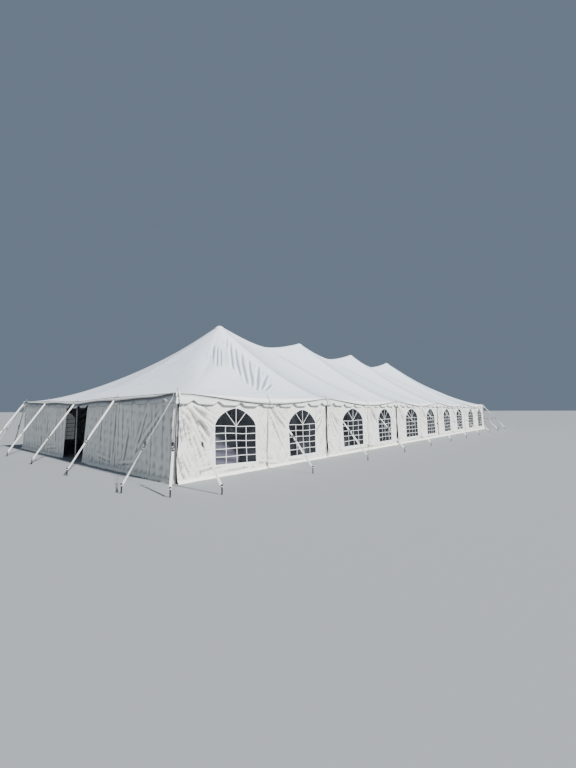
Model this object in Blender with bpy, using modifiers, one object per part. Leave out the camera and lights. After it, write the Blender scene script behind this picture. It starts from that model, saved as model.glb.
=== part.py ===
"""Marquee tent: a white pole tent, 40 by 100 feet, with arched-window sidewalls.

Metres, +Z up. The origin is the centre of the floor. +X runs along the ridge,
-Y is the long side seen in the photograph and -X is the short side with the doorway.
"""

import math

import bmesh
import bpy
from mathutils import Matrix, Vector

# Plan and heights
BAY = 3.048
LONG_BAYS = 10
SHORT_BAYS = 4
SECTION_BAYS = 2
EAVE_HEIGHT = 2.09
EAVE_DIP = 0.06
SHORT_SIDE_DIP = 0.09
PEAK_HEIGHT = 5.69
SADDLE_DROP = 0.60

# How hollow the roof's slopes are: 1 is straight, more is more hollow
RIDGE_CURVE = 1.5
STATION_CURVE = 1.32
MIDSPAN_CURVE = 1.12
LEFT_HIP_CURVE = 1.58
RIGHT_HIP_CURVE = 1.42

# Canopy cloth
CANOPY_CLOTH = 0.004
EDGE_OVERHANG = 0.060
EDGE_LAP = 0.050
PEAK_FLAT = 0.065
CREASE_REACH = 0.40
VALANCE_DROP = 0.255
CELLS_PER_SECTION = 6

# The notches between the valance's scallops
SCALLOPS_PER_BAY = 4
NOTCH_DEPTH = 0.100
NOTCH_HALF_WIDTH = 0.165
NOTCH_MARGIN = 0.030

# Clearance that touching pieces keep
GAP = 0.0003

# Side poles and the webbing that ties each row together
SIDE_POLE_RADIUS = 0.024
PIN_RADIUS = 0.0065
PIN_ABOVE_EAVE = 0.115
GROMMET_CLEARANCE = 0.003
WEBBING_BELOW_EAVE = 0.030
WEBBING_HEIGHT = 0.045
WEBBING_THICKNESS = 0.012

# Centre poles
CENTRE_POLE_RADIUS = 0.051
CENTRE_PIN_RADIUS = 0.0095
CENTRE_PIN_ABOVE = 0.045
FOOT_PLATE_RADIUS = 0.150
FOOT_PLATE_THICKNESS = 0.010

# Guys: ring, link, strap, ratchet and stake
LONG_SIDE_REACH = 1.66
SHORT_SIDE_REACH = 1.24
DIAGONAL_REACH_X = 0.79
DIAGONAL_REACH_Y = 1.07
RING_RADIUS = 0.028
RING_THICKNESS = 0.009
RING_CLEARANCE = 0.0004
LINK_WIDTH = 0.030
LINK_THICKNESS = 0.006
LINK_REACH = 0.095
LINK_DROP = 0.090
STRAP_WIDTH = 0.050
STRAP_THICKNESS = 0.005
LOWER_STRAP_WIDTH = 0.050
RATCHET_PLACE = 0.58
RATCHET_LENGTH = 0.170
RATCHET_WIDTH = 0.072
RATCHET_DEPTH = 0.046
STAKE_RADIUS = 0.0145
STAKE_HEIGHT = 0.200
STRAP_END_HEIGHT = 0.165

# Sidewalls
WALL_CLOTH = 0.003
WALL_BELOW_EAVE = 0.020
PANEL_SLIT = 0.012
WINDOW_SHEET = 0.0015
SHEET_MARGIN = 0.060

# Arched windows, as centres from the left end of a panel seen from outside
WINDOW_CENTRES = (1.83, 4.74)
WINDOW_WIDTH = 1.41
WINDOW_SILL = 0.265
WINDOW_SPRING = 1.25
WINDOW_RISE = 0.48
ARCH_POWER = 1.62
ARCH_STEPS = 12

# Doorway in the short wall at -X
DOOR_FRONT_TOP = -0.99
DOOR_FRONT_FOOT = -0.68
DOOR_BACK_TOP = 0.90
DOOR_BACK_FOOT = 1.04

# Faces round the round pieces
POLE_SIDES = 12
SMALL_SIDES = 8

# Sizes that follow from the ones above
HALF_LENGTH = LONG_BAYS * BAY / 2
HALF_WIDTH = SHORT_BAYS * BAY / 2
SECTION = SECTION_BAYS * BAY
SECTION_COUNT = LONG_BAYS // SECTION_BAYS
LAST_PEAK = HALF_LENGTH - SECTION
LOWEST_EAVE = EAVE_HEIGHT - max(EAVE_DIP, SHORT_SIDE_DIP)
WEBBING_TOP = LOWEST_EAVE - WEBBING_BELOW_EAVE
WALL_TOP = LOWEST_EAVE - WALL_BELOW_EAVE
SCALLOP = BAY / SCALLOPS_PER_BAY
SHORT_WALL_OFFSET = SIDE_POLE_RADIUS + GAP
LONG_WALL_OFFSET = SIDE_POLE_RADIUS + GAP + WINDOW_SHEET + GAP

COLOURS = {
    "canopy_vinyl": ((0.80, 0.83, 0.88), 0.45, 0.0),
    "wall_vinyl": ((0.82, 0.84, 0.85), 0.50, 0.0),
    "clear_vinyl": ((0.10, 0.12, 0.13), 0.12, 0.0),
    "pole_steel": ((0.45, 0.46, 0.47), 0.40, 0.9),
    "strap_web": ((0.85, 0.86, 0.86), 0.70, 0.0),
}


def start_scene():
    """Clear the scene and return the collection that the tent's pieces go in."""
    for item in list(bpy.data.objects):
        bpy.data.objects.remove(item, do_unlink=True)
    pieces = bpy.data.collections.new("marquee_tent")
    bpy.context.scene.collection.children.link(pieces)
    return pieces


def make_material(name):
    """A Principled material in one of the tent's colours."""
    material = bpy.data.materials.get(name)
    if material:
        return material
    colour, roughness, metallic = COLOURS[name]
    material = bpy.data.materials.new(name)
    material.use_nodes = True
    shader = material.node_tree.nodes["Principled BSDF"]
    shader.inputs["Base Color"].default_value = (*colour, 1.0)
    shader.inputs["Roughness"].default_value = roughness
    shader.inputs["Metallic"].default_value = metallic
    return material


def add_piece(name, mesh, material, location=(0, 0, 0), turn=0.0):
    """Put a finished mesh in the tent as a named piece."""
    piece = bpy.data.objects.new(name, mesh)
    piece.location = location
    piece.rotation_euler = (0, 0, turn)
    if not mesh.materials:
        mesh.materials.append(make_material(material))
    PIECES.objects.link(piece)
    return piece


def bake(item):
    """Return the mesh of an object as its modifiers leave it, and remove the object."""
    bpy.context.view_layer.update()
    depsgraph = bpy.context.evaluated_depsgraph_get()
    mesh = bpy.data.meshes.new_from_object(item.evaluated_get(depsgraph))
    mesh.transform(item.matrix_world)
    bpy.data.objects.remove(item, do_unlink=True)
    return mesh


def loose_object(mesh):
    """Put a mesh in the scene for a Boolean to work on."""
    item = bpy.data.objects.new(mesh.name, mesh)
    bpy.context.scene.collection.objects.link(item)
    return item


def combine(meshes, operation="UNION"):
    """Join, or cut from the first, all the other closed meshes."""
    body = loose_object(meshes[0])
    others = [loose_object(mesh) for mesh in meshes[1:]]
    for other in others:
        step = body.modifiers.new(operation.lower(), "BOOLEAN")
        step.operation = operation
        step.object = other
    mesh = bake(body)
    for other in others:
        bpy.data.objects.remove(other, do_unlink=True)
    return mesh


def cylinder(radius, bottom, top, sides, centre=(0, 0)):
    """An upright cylinder between two heights."""
    bm = bmesh.new()
    place = Matrix.Translation((centre[0], centre[1], (bottom + top) / 2))
    bmesh.ops.create_cone(
        bm,
        cap_ends=True,
        segments=sides,
        radius1=radius,
        radius2=radius,
        depth=top - bottom,
        matrix=place,
    )
    return finish_mesh(bm, "cylinder")


def box(low, high):
    """A box between two corners."""
    low = Vector(low)
    high = Vector(high)
    bm = bmesh.new()
    place = Matrix.Translation((low + high) / 2) @ Matrix.Diagonal((*(high - low), 1.0))
    bmesh.ops.create_cube(bm, size=1.0, matrix=place)
    return finish_mesh(bm, "box")


def bar(start, end, width, thickness):
    """A flat bar from start to end, with its width level."""
    start = Vector(start)
    end = Vector(end)
    along = (end - start).normalized()
    across = Vector((0, 0, 1)).cross(along).normalized()
    up = along.cross(across)
    turn = Matrix((along, across, up)).transposed().to_4x4()
    stretch = Matrix.Diagonal(((end - start).length, width, thickness, 1.0))
    bm = bmesh.new()
    bmesh.ops.create_cube(bm, size=1.0, matrix=Matrix.Translation((start + end) / 2) @ turn @ stretch)
    return finish_mesh(bm, "bar")


def upright_plate(top, foot, side, front):
    """An upright plate between two points. side and front reach from its middle to its faces."""
    above = Vector((0, 0, front.length))
    bm = bmesh.new()
    for height in (foot - above, top + above):
        for sign in (-1, 1):
            bm.verts.new(height + side + front * sign)
            bm.verts.new(height - side - front * sign)
    bmesh.ops.convex_hull(bm, input=bm.verts)
    return finish_mesh(bm, "upright_plate")


def finish_mesh(bm, name):
    """Turn a bmesh into a mesh and free it."""
    mesh = bpy.data.meshes.new(name)
    bm.to_mesh(mesh)
    bm.free()
    return mesh


# Canopy


def lace_lines():
    """The stations along X where two canopy sections meet, over the centre poles."""
    return [-HALF_LENGTH + SECTION * step for step in range(1, SECTION_COUNT)]


def ridge_height(x):
    """Height of the ridge between the first and the last peak."""
    away = min(abs(x - station) for station in lace_lines())
    closeness = 1 - max(0.0, away - PEAK_FLAT) / (SECTION / 2 - PEAK_FLAT)
    return PEAK_HEIGHT - SADDLE_DROP * (1 - closeness**RIDGE_CURVE)


def long_side_dips():
    """How far the rim dips at each pole of a long side: not at all at every second one."""
    return [EAVE_DIP * (min(step, LONG_BAYS - step) % 2) for step in range(LONG_BAYS + 1)]


def short_side_dips():
    """How far the rim dips at each pole of a short side: most in the middle."""
    return [SHORT_SIDE_DIP * math.sin(math.pi * step / SHORT_BAYS) ** 4 for step in range(SHORT_BAYS + 1)]


def rim_dip(along, dips):
    """How far the rim dips at a distance along a side from one of its corners.

    dips holds the dip at each of the side's poles. The rim is level round every pole.
    """
    step = min(max(0, int(along // BAY)), len(dips) - 2)
    share = (along - step * BAY - PEAK_FLAT) / (BAY - 2 * PEAK_FLAT)
    share = min(1.0, max(0.0, share))
    return dips[step] + (dips[step + 1] - dips[step]) * math.sin(share * math.pi / 2) ** 2


def dip_left(inward):
    """Share of the rim's dip that is left at a distance inward from it."""
    return max(0.0, 1 - max(0.0, inward) / CREASE_REACH)


def end_height(beyond, across, hip_curve):
    """Height of an end section, where the roof falls on three sides of its peak.

    beyond and across are distances from the peak, each as a share of its run.
    """
    large = max(beyond, across)
    if large == 0:
        return PEAK_HEIGHT
    diagonal = min(beyond, across) / large
    roundness = 4 + 60 * large**4
    reach = min(1.0, large * (1 + diagonal**roundness) ** (1 / roundness))
    curve = STATION_CURVE + (hip_curve - STATION_CURVE) * diagonal
    return EAVE_HEIGHT + (PEAK_HEIGHT - EAVE_HEIGHT) * (1 - reach) ** curve


def taut_height(x, y):
    """Height of the canopy's outer face over a point of the floor, with a level rim."""
    across = max(0.0, abs(y) - PEAK_FLAT) / (HALF_WIDTH - EDGE_LAP - PEAK_FLAT)
    across = min(1.0, across)
    if abs(x) > LAST_PEAK:
        beyond = max(0.0, abs(x) - LAST_PEAK - PEAK_FLAT) / (SECTION - EDGE_LAP - PEAK_FLAT)
        hip_curve = LEFT_HIP_CURVE if x < 0 else RIGHT_HIP_CURVE
        return end_height(min(1.0, beyond), across, hip_curve)
    away = min(abs(x - station) for station in lace_lines())
    midspan = away / (SECTION / 2)
    curve = STATION_CURVE + (MIDSPAN_CURVE - STATION_CURVE) * midspan
    return EAVE_HEIGHT + (ridge_height(x) - EAVE_HEIGHT) * (1 - across) ** curve


def canopy_height(x, y):
    """Height of the canopy's outer face over a point of the floor."""
    long_dip = rim_dip(x + HALF_LENGTH, long_side_dips()) * dip_left(HALF_WIDTH - EDGE_LAP - abs(y))
    short_dip = rim_dip(y + HALF_WIDTH, short_side_dips()) * dip_left(HALF_LENGTH - EDGE_LAP - abs(x))
    return taut_height(x, y) - long_dip - short_dip


def even_steps(start, end, count):
    """Evenly spaced values from start to end, both included."""
    return [start + (end - start) * step / count for step in range(count + 1)]


def with_pads(lines, stations):
    """Grid lines with one more on each side of every pole, so that its patch is flat."""
    pads = [station + side * PEAK_FLAT for station in stations for side in (-1, 1)]
    return sorted(lines + [pad for pad in pads if lines[0] + GAP < pad < lines[-1] - GAP])


def section_columns(low, high):
    """Stations along X of one canopy section's grid, finer at its poles and its eave."""
    left_end = low <= -HALF_LENGTH
    right_end = high >= HALF_LENGTH
    first = [-HALF_LENGTH - EDGE_OVERHANG] if left_end else [low + GAP / 2]
    last = [HALF_LENGTH + EDGE_OVERHANG] if right_end else [high - GAP / 2]
    start = low + (EDGE_LAP if left_end else PEAK_FLAT)
    end = high - (EDGE_LAP if right_end else PEAK_FLAT)
    crease = HALF_LENGTH - EDGE_LAP - CREASE_REACH
    creases = [side * crease for side in (-1, 1) if start < side * crease < end]
    lines = sorted(even_steps(start, end, CELLS_PER_SECTION) + creases)
    return first + with_pads(lines, along_long_side()) + last


def section_rows():
    """Stations along Y of every canopy section's grid."""
    rim = HALF_WIDTH - EDGE_LAP
    lines = sorted(even_steps(PEAK_FLAT, rim, CELLS_PER_SECTION) + [rim - CREASE_REACH])
    half = with_pads(lines, along_short_side()) + [HALF_WIDTH + EDGE_OVERHANG]
    return [-y for y in reversed(half)] + half


def along_long_side():
    """Where the side poles stand along X, corners included."""
    return [-HALF_LENGTH + BAY * step for step in range(LONG_BAYS + 1)]


def along_short_side():
    """Where the side poles stand along Y, corners included."""
    return [-HALF_WIDTH + BAY * step for step in range(SHORT_BAYS + 1)]


def side_stations():
    """Where the side poles stand: every bay round the edge, corners included."""
    edge = [(x, side * HALF_WIDTH) for side in (-1, 1) for x in along_long_side()]
    return edge + [(side * HALF_LENGTH, y) for side in (-1, 1) for y in along_short_side()[1:-1]]


def hole_cutters(low, high):
    """Cylinders for the grommet holes of the poles that one section lies on."""
    reach = 2 * RING_RADIUS
    cutters = []
    for x, y in side_stations():
        if low - reach < x < high + reach:
            radius = PIN_RADIUS + GROMMET_CLEARANCE
            rim = canopy_height(x, y)
            cutters.append(cylinder(radius, rim - reach, rim + reach, SMALL_SIDES, (x, y)))
    for x in lace_lines():
        if low - reach < x < high + reach:
            radius = CENTRE_PIN_RADIUS + GROMMET_CLEARANCE
            cutters.append(cylinder(radius, PEAK_HEIGHT - reach, PEAK_HEIGHT + reach, SMALL_SIDES, (x, 0)))
    return cutters


def notch_outline(centre, rim):
    """A V-shaped notch up into the valance's lower edge, wider than it below the edge."""
    edge = rim - VALANCE_DROP
    half = NOTCH_HALF_WIDTH * (NOTCH_DEPTH + NOTCH_MARGIN) / NOTCH_DEPTH
    foot = edge - NOTCH_MARGIN
    return [(centre - half, foot), (centre + half, foot), (centre, edge + NOTCH_DEPTH)]


def notch_places(length):
    """Where the notches of a side lie between the scallops, as distances from its middle."""
    count = round(length / SCALLOP)
    return [-length / 2 + SCALLOP * (step + 0.5) for step in range(count)]


def notch_cutters(low, high):
    """Prisms that cut the scallops of one section's share of the valance."""
    inside = [x for x in notch_places(2 * HALF_LENGTH) if low < x < high]
    outlines = [notch_outline(x, canopy_height(x, HALF_WIDTH)) for x in inside]
    cutters = [flat_panel(outlines, 2 * HALF_WIDTH + SCALLOP)]
    for side in (-1, 1):
        if low < side * (HALF_LENGTH - GAP) < high:
            outlines = [notch_outline(y, canopy_height(HALF_LENGTH, y)) for y in notch_places(2 * HALF_WIDTH)]
            cutter = flat_panel(outlines, SCALLOP)
            cutter.transform(Matrix.Rotation(math.pi / 2, 4, "Z"))
            cutter.transform(Matrix.Translation((side * HALF_LENGTH, 0, 0)))
            cutters.append(cutter)
    return cutters


def canopy_sheet(columns, rows):
    """A grid that follows the roof, with its outer edge turned down as the valance."""
    bm = bmesh.new()
    bmesh.ops.create_grid(bm, x_segments=len(columns) - 1, y_segments=len(rows) - 1, size=0.5)
    for vert in bm.verts:
        x = columns[round((vert.co.x + 0.5) * (len(columns) - 1))]
        y = rows[round((vert.co.y + 0.5) * (len(rows) - 1))]
        vert.co = (x, y, canopy_height(x, y))

    def at_edge(vert):
        return abs(vert.co.x) > HALF_LENGTH or abs(vert.co.y) > HALF_WIDTH

    outer = [
        edge
        for edge in bm.edges
        if edge.is_boundary and all(at_edge(vert) for vert in edge.verts) and runs_along_edge(edge)
    ]
    grown = bmesh.ops.extrude_edge_only(bm, edges=outer)["geom"]
    lowered = [item for item in grown if isinstance(item, bmesh.types.BMVert)]
    bmesh.ops.translate(bm, verts=lowered, vec=(0, 0, -VALANCE_DROP))
    bmesh.ops.recalc_face_normals(bm, faces=bm.faces)
    if max(bm.faces, key=lambda face: face.calc_center_median().z).normal.z < 0:
        bmesh.ops.reverse_faces(bm, faces=bm.faces)
    return finish_mesh(bm, "canopy_sheet")


def runs_along_edge(edge):
    """Whether a boundary edge lies on the canopy's outline, and not on a lace line."""
    first, second = (vert.co for vert in edge.verts)
    along_long = min(abs(first.y), abs(second.y)) > HALF_WIDTH
    along_short = min(abs(first.x), abs(second.x)) > HALF_LENGTH
    return along_long or along_short


def make_canopy():
    """The roof, as sections that meet over the centre poles."""
    rows = section_rows()
    for number in range(SECTION_COUNT):
        low = -HALF_LENGTH + SECTION * number
        high = low + SECTION
        sheet = loose_object(canopy_sheet(section_columns(low, high), rows))
        shell = sheet.modifiers.new("cloth", "SOLIDIFY")
        shell.thickness = CANOPY_CLOTH
        shell.offset = -1
        shell.use_even_offset = True
        shell.use_quality_normals = True
        cutters = hole_cutters(low, high) + notch_cutters(low, high)
        mesh = combine([bake(sheet)] + cutters, "DIFFERENCE")
        add_piece(f"canopy_section_{number + 1}", mesh, "canopy_vinyl")


# Poles


def make_centre_poles():
    """The tall poles under the peaks, each with a foot plate and a pin through the roof."""
    top = PEAK_HEIGHT - CANOPY_CLOTH - GAP
    shaft = cylinder(CENTRE_POLE_RADIUS, 0.0, top, POLE_SIDES)
    plate = cylinder(FOOT_PLATE_RADIUS, 0.0, FOOT_PLATE_THICKNESS, 2 * POLE_SIDES)
    pin_root = top - CENTRE_POLE_RADIUS
    pin = cylinder(CENTRE_PIN_RADIUS, pin_root, PEAK_HEIGHT + CENTRE_PIN_ABOVE, SMALL_SIDES)
    mesh = combine([plate, shaft, pin])
    for number, x in enumerate(lace_lines(), start=1):
        add_piece(f"centre_pole_{number}", mesh, "pole_steel", (x, 0, 0))


def pole_row(name, points, webbing_ends):
    """A row of side poles, tied together under the eave by a flat webbing."""
    low = Vector((*webbing_ends[0], WEBBING_TOP - WEBBING_HEIGHT))
    high = Vector((*webbing_ends[1], WEBBING_TOP))
    solids = [box(low, high)]
    for point in points:
        rim = canopy_height(*point)
        top = rim - CANOPY_CLOTH - GAP
        solids.append(cylinder(SIDE_POLE_RADIUS, 0.0, top, POLE_SIDES, point))
        pin_root = top - SIDE_POLE_RADIUS
        solids.append(cylinder(PIN_RADIUS, pin_root, rim + PIN_ABOVE_EAVE, SMALL_SIDES, point))
    add_piece(name, combine(solids), "pole_steel")


def make_side_poles():
    """The four rows of side poles. The long rows hold the corner poles."""
    half = WEBBING_THICKNESS / 2
    stations = side_stations()
    for name, side in (("front_side_poles", -1), ("back_side_poles", 1)):
        y = side * HALF_WIDTH
        points = [point for point in stations if point[1] == y]
        pole_row(name, points, ((-HALF_LENGTH, y - half), (HALF_LENGTH, y + half)))
    inner = HALF_WIDTH - SIDE_POLE_RADIUS - GAP
    for name, side in (("left_side_poles", -1), ("right_side_poles", 1)):
        x = side * HALF_LENGTH
        points = [point for point in stations if point[0] == x and abs(point[1]) < inner]
        pole_row(name, points, ((x - half, -inner), (x + half, inner)))


# Guys


def guy_parts(rim, reach, direction):
    """One guy's closed shapes: link over the edge, strap, ratchet, lower strap and stake.

    rim is the canopy's height at the pole, reach is how far the stake stands from the pole,
    and direction is the way there.
    """
    away = Vector((math.cos(direction), math.sin(direction), 0))
    link_height = rim + GAP + RING_THICKNESS / 2
    bend = away * LINK_REACH + Vector((0, 0, link_height))
    eye = bend - Vector((0, 0, LINK_DROP))
    tip = away * reach + Vector((0, 0, STRAP_END_HEIGHT))
    along = (tip - eye).normalized()
    middle = eye.lerp(tip, RATCHET_PLACE)
    half = along * RATCHET_LENGTH / 2
    inside = Vector((0, 0, link_height)) + away * (RING_RADIUS + PIN_RADIUS) / 2
    link = bar(inside, bend, LINK_WIDTH, LINK_THICKNESS)
    side = Vector((-away.y, away.x, 0)) * LINK_WIDTH / 2
    hanging = upright_plate(bend, eye, side, away * LINK_THICKNESS / 2)
    strap = bar(eye - along * LINK_THICKNESS, middle, STRAP_WIDTH, STRAP_THICKNESS)
    ratchet = bar(middle - half, middle + half, RATCHET_WIDTH, RATCHET_DEPTH)
    lower_strap = bar(middle, tip, LOWER_STRAP_WIDTH, STRAP_THICKNESS)
    stake = cylinder(STAKE_RADIUS, 0.0, STAKE_HEIGHT, SMALL_SIDES, (tip.x, tip.y))
    return [link, hanging, strap, ratchet, lower_strap, stake]


def guy_mesh(rim, legs):
    """A ring on the rim with one guy for each (reach, direction) in legs, as one body."""
    bottom = rim + GAP
    ring = cylinder(RING_RADIUS, bottom, bottom + RING_THICKNESS, POLE_SIDES)
    solids = [ring]
    for reach, direction in legs:
        solids += guy_parts(rim, reach, direction)
    bore_radius = PIN_RADIUS + RING_CLEARANCE
    bore = cylinder(bore_radius, rim - RING_RADIUS, rim + RING_RADIUS, SMALL_SIDES)
    return combine([combine(solids), bore], "DIFFERENCE")


def make_guys():
    """A guy at every side pole, and three at every corner."""
    quarter = math.pi / 2
    for step, x in enumerate(along_long_side()[1:-1], start=1):
        guy = guy_mesh(canopy_height(x, HALF_WIDTH), [(LONG_SIDE_REACH, 0.0)])
        add_piece(f"front_guy_{step}", guy, "strap_web", (x, -HALF_WIDTH, 0), -quarter)
        add_piece(f"back_guy_{step}", guy, "strap_web", (x, HALF_WIDTH, 0), quarter)
    for step, y in enumerate(along_short_side()[1:-1], start=1):
        guy = guy_mesh(canopy_height(HALF_LENGTH, y), [(SHORT_SIDE_REACH, 0.0)])
        add_piece(f"left_guy_{step}", guy, "strap_web", (-HALF_LENGTH, y, 0), math.pi)
        add_piece(f"right_guy_{step}", guy, "strap_web", (HALF_LENGTH, y, 0), 0.0)
    diagonal = math.hypot(DIAGONAL_REACH_X, DIAGONAL_REACH_Y)
    for end_name, x_side in (("left", -1), ("right", 1)):
        for side_name, y_side in (("front", -1), ("back", 1)):
            along_x = 0.0 if x_side > 0 else math.pi
            along_y = quarter * y_side
            outward = math.atan2(y_side * DIAGONAL_REACH_Y, x_side * DIAGONAL_REACH_X)
            legs = [(SHORT_SIDE_REACH, along_x), (LONG_SIDE_REACH, along_y), (diagonal, outward)]
            corner = (x_side * HALF_LENGTH, y_side * HALF_WIDTH, 0)
            mesh = guy_mesh(EAVE_HEIGHT, legs)
            add_piece(f"{side_name}_{end_name}_corner_guys", mesh, "strap_web", corner)


# Sidewalls


def arch_outline(centre):
    """An arched window's outline: straight jambs under an arch a little more pointed than an ellipse."""
    half = WINDOW_WIDTH / 2
    points = [(centre - half, WINDOW_SILL), (centre + half, WINDOW_SILL)]
    for step in range(ARCH_STEPS + 1):
        angle = math.pi * step / ARCH_STEPS
        across = math.copysign(abs(math.cos(angle)) ** (2 / ARCH_POWER), math.cos(angle))
        over = math.sin(angle) ** (2 / ARCH_POWER) if 0 < step < ARCH_STEPS else 0.0
        points.append((centre + half * across, WINDOW_SPRING + WINDOW_RISE * over))
    return points


def flat_panel(outlines, thickness):
    """A flat cloth from outlines of (along, up), standing upright with its face at -Y."""
    curve = bpy.data.curves.new("panel", "CURVE")
    curve.dimensions = "2D"
    curve.fill_mode = "BOTH"
    curve.extrude = thickness / 2
    for outline in outlines:
        spline = curve.splines.new("POLY")
        spline.points.add(len(outline) - 1)
        for point, (along, up) in zip(spline.points, outline):
            point.co = (along, up, 0, 1)
        spline.use_cyclic_u = True
    item = loose_object(curve)
    item.rotation_euler = (math.pi / 2, 0, 0)
    mesh = bake(item)
    bpy.data.curves.remove(curve)
    bm = bmesh.new()
    bm.from_mesh(mesh)
    bmesh.ops.remove_doubles(bm, verts=bm.verts, dist=GAP / 10)
    bmesh.ops.recalc_face_normals(bm, faces=bm.faces)
    bm.to_mesh(mesh)
    bm.free()
    return mesh


def rectangle(start, end, bottom, top):
    """A rectangle's outline."""
    return [(start, bottom), (end, bottom), (end, top), (start, top)]


def make_long_walls():
    """Both long sides: panels of two bays, each with two arched windows."""
    half_cloth = WALL_CLOTH / 2
    distance = HALF_WIDTH + LONG_WALL_OFFSET + half_cloth
    reach = SHORT_WALL_OFFSET - GAP
    for name, side, turn in (("front", -1, 0.0), ("back", 1, math.pi)):
        for number in range(SECTION_COUNT):
            start = -HALF_LENGTH + SECTION * number
            low = start - reach if number == 0 else start + PANEL_SLIT / 2
            end = start + SECTION
            high = end + reach if number == SECTION_COUNT - 1 else end - PANEL_SLIT / 2
            outlines = [rectangle(low, high, 0.0, WALL_TOP)]
            outlines += [arch_outline(start + centre) for centre in WINDOW_CENTRES]
            mesh = flat_panel(outlines, WALL_CLOTH)
            add_piece(f"{name}_wall_{number + 1}", mesh, "wall_vinyl", (0, side * distance, 0), turn)


def make_short_walls():
    """Both short sides. The doorway is the space that the two panels at -X leave."""
    distance = HALF_LENGTH + SHORT_WALL_OFFSET + WALL_CLOTH / 2
    corner = HALF_WIDTH + LONG_WALL_OFFSET + WALL_CLOTH
    slit = PANEL_SLIT / 2
    front_half = [(-corner, 0), (DOOR_FRONT_FOOT, 0), (DOOR_FRONT_TOP, WALL_TOP), (-corner, WALL_TOP)]
    back_half = [(DOOR_BACK_FOOT, 0), (corner, 0), (corner, WALL_TOP), (DOOR_BACK_TOP, WALL_TOP)]
    mirrored_front = [(-along, up) for along, up in reversed(front_half)]
    mirrored_back = [(-along, up) for along, up in reversed(back_half)]
    quarter = math.pi / 2
    walls = (
        ("left_wall_front", mirrored_front, -1),
        ("left_wall_back", mirrored_back, -1),
        ("right_wall_front", rectangle(-corner, -slit, 0, WALL_TOP), 1),
        ("right_wall_back", rectangle(slit, corner, 0, WALL_TOP), 1),
    )
    for name, outline, side in walls:
        mesh = flat_panel([outline], WALL_CLOTH)
        add_piece(name, mesh, "wall_vinyl", (side * distance, 0, 0), side * quarter)


def make_window_sheets():
    """The clear sheet that closes the windows of each long side, inside the cloth."""
    inner = HALF_WIDTH + SIDE_POLE_RADIUS + GAP
    reach = HALF_LENGTH - SHEET_MARGIN
    bottom = WINDOW_SILL - SHEET_MARGIN
    top = WINDOW_SPRING + WINDOW_RISE + SHEET_MARGIN
    front = box((-reach, -inner - WINDOW_SHEET, bottom), (reach, -inner, top))
    add_piece("front_window_sheet", front, "clear_vinyl")
    back = box((-reach, inner, bottom), (reach, inner + WINDOW_SHEET, top))
    add_piece("back_window_sheet", back, "clear_vinyl")


PIECES = start_scene()
make_canopy()
make_centre_poles()
make_side_poles()
make_guys()
make_long_walls()
make_short_walls()
make_window_sheets()
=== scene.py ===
# %% [markdown]
# # A white marquee tent
# This lesson dresses a CAD model of a 40 by 100 foot pole tent: a cloth roof on four tall poles,
# a valance with scallops, sidewalls with arched windows, and a guy strap at every side pole.
# The CAD model is loaded as a fixed frame, and every new piece is placed in its coordinates:
# metres, +Z up, the origin in the middle of the floor, +X along the ridge, and -Y towards the
# long side that the photograph shows.

# %% Load the frame
import functools
import math

import bpy
import numpy as np
from mathutils import Matrix, Vector


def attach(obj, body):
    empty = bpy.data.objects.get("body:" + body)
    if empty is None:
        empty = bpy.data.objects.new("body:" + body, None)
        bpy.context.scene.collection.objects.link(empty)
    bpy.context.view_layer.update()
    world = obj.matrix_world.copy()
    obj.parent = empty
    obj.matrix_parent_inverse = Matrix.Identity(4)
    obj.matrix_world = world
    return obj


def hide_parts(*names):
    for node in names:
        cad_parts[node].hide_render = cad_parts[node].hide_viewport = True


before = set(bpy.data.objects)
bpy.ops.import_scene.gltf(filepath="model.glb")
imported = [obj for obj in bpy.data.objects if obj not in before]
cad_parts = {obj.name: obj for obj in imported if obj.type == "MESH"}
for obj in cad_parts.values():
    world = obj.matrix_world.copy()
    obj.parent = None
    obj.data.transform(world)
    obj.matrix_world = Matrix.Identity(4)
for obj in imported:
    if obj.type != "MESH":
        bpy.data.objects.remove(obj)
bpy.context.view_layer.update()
print("CAD nodes:", len(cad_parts))

# %% [markdown]
# ## The tent's sizes
# A tent like this is bought by the bay: the side poles stand 10 feet apart, and everything else
# follows from that. The numbers below are the real sizes that the CAD model has too, so a piece
# that is worked out from them lands where the frame is.

# %% Driving sizes
BAY = 3.048
LONG_BAYS = 10
SHORT_BAYS = 4
SECTION_BAYS = 2
HALF_LENGTH = LONG_BAYS * BAY / 2
HALF_WIDTH = SHORT_BAYS * BAY / 2
SECTION = SECTION_BAYS * BAY
SECTION_COUNT = LONG_BAYS // SECTION_BAYS
LAST_PEAK = HALF_LENGTH - SECTION

EAVE_HEIGHT = 2.09
EAVE_DIP = 0.06
SHORT_SIDE_DIP = 0.09
PEAK_HEIGHT = 5.69
SADDLE_DROP = 0.60
RIDGE_CURVE = 1.5
STATION_CURVE = 1.32
MIDSPAN_CURVE = 1.12
LEFT_HIP_CURVE = 1.58
RIGHT_HIP_CURVE = 1.42
EDGE_LAP = 0.050
PEAK_FLAT = 0.065
CREASE_REACH = 0.40
VALANCE_DROP = 0.255

lace_lines = [-HALF_LENGTH + SECTION * step for step in range(1, SECTION_COUNT)]
long_stations = [-HALF_LENGTH + BAY * step for step in range(LONG_BAYS + 1)]
short_stations = [-HALF_WIDTH + BAY * step for step in range(SHORT_BAYS + 1)]
print("lace lines at x =", [round(x, 3) for x in lace_lines])

# %% [markdown]
# ## Camera
# The photograph was taken at eye height near one corner, with a wide lens. Its camera was worked
# out from the corners, peaks and poles, whose real places are known, so the camera here stands
# at the same place. A camera could also be moved by eye until the picture fits, but then every
# later comparison would carry that error.

# %% Camera at the photograph's place
CAMERA_PLACE = (-19.903, -13.449, 1.678)
CAMERA_YAW = math.radians(40.34)
CAMERA_PITCH = math.radians(4.158)
CAMERA_ROLL = math.radians(-0.161)
CAMERA_LENS = 16.706
FARTHEST_SEEN = 400

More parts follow.
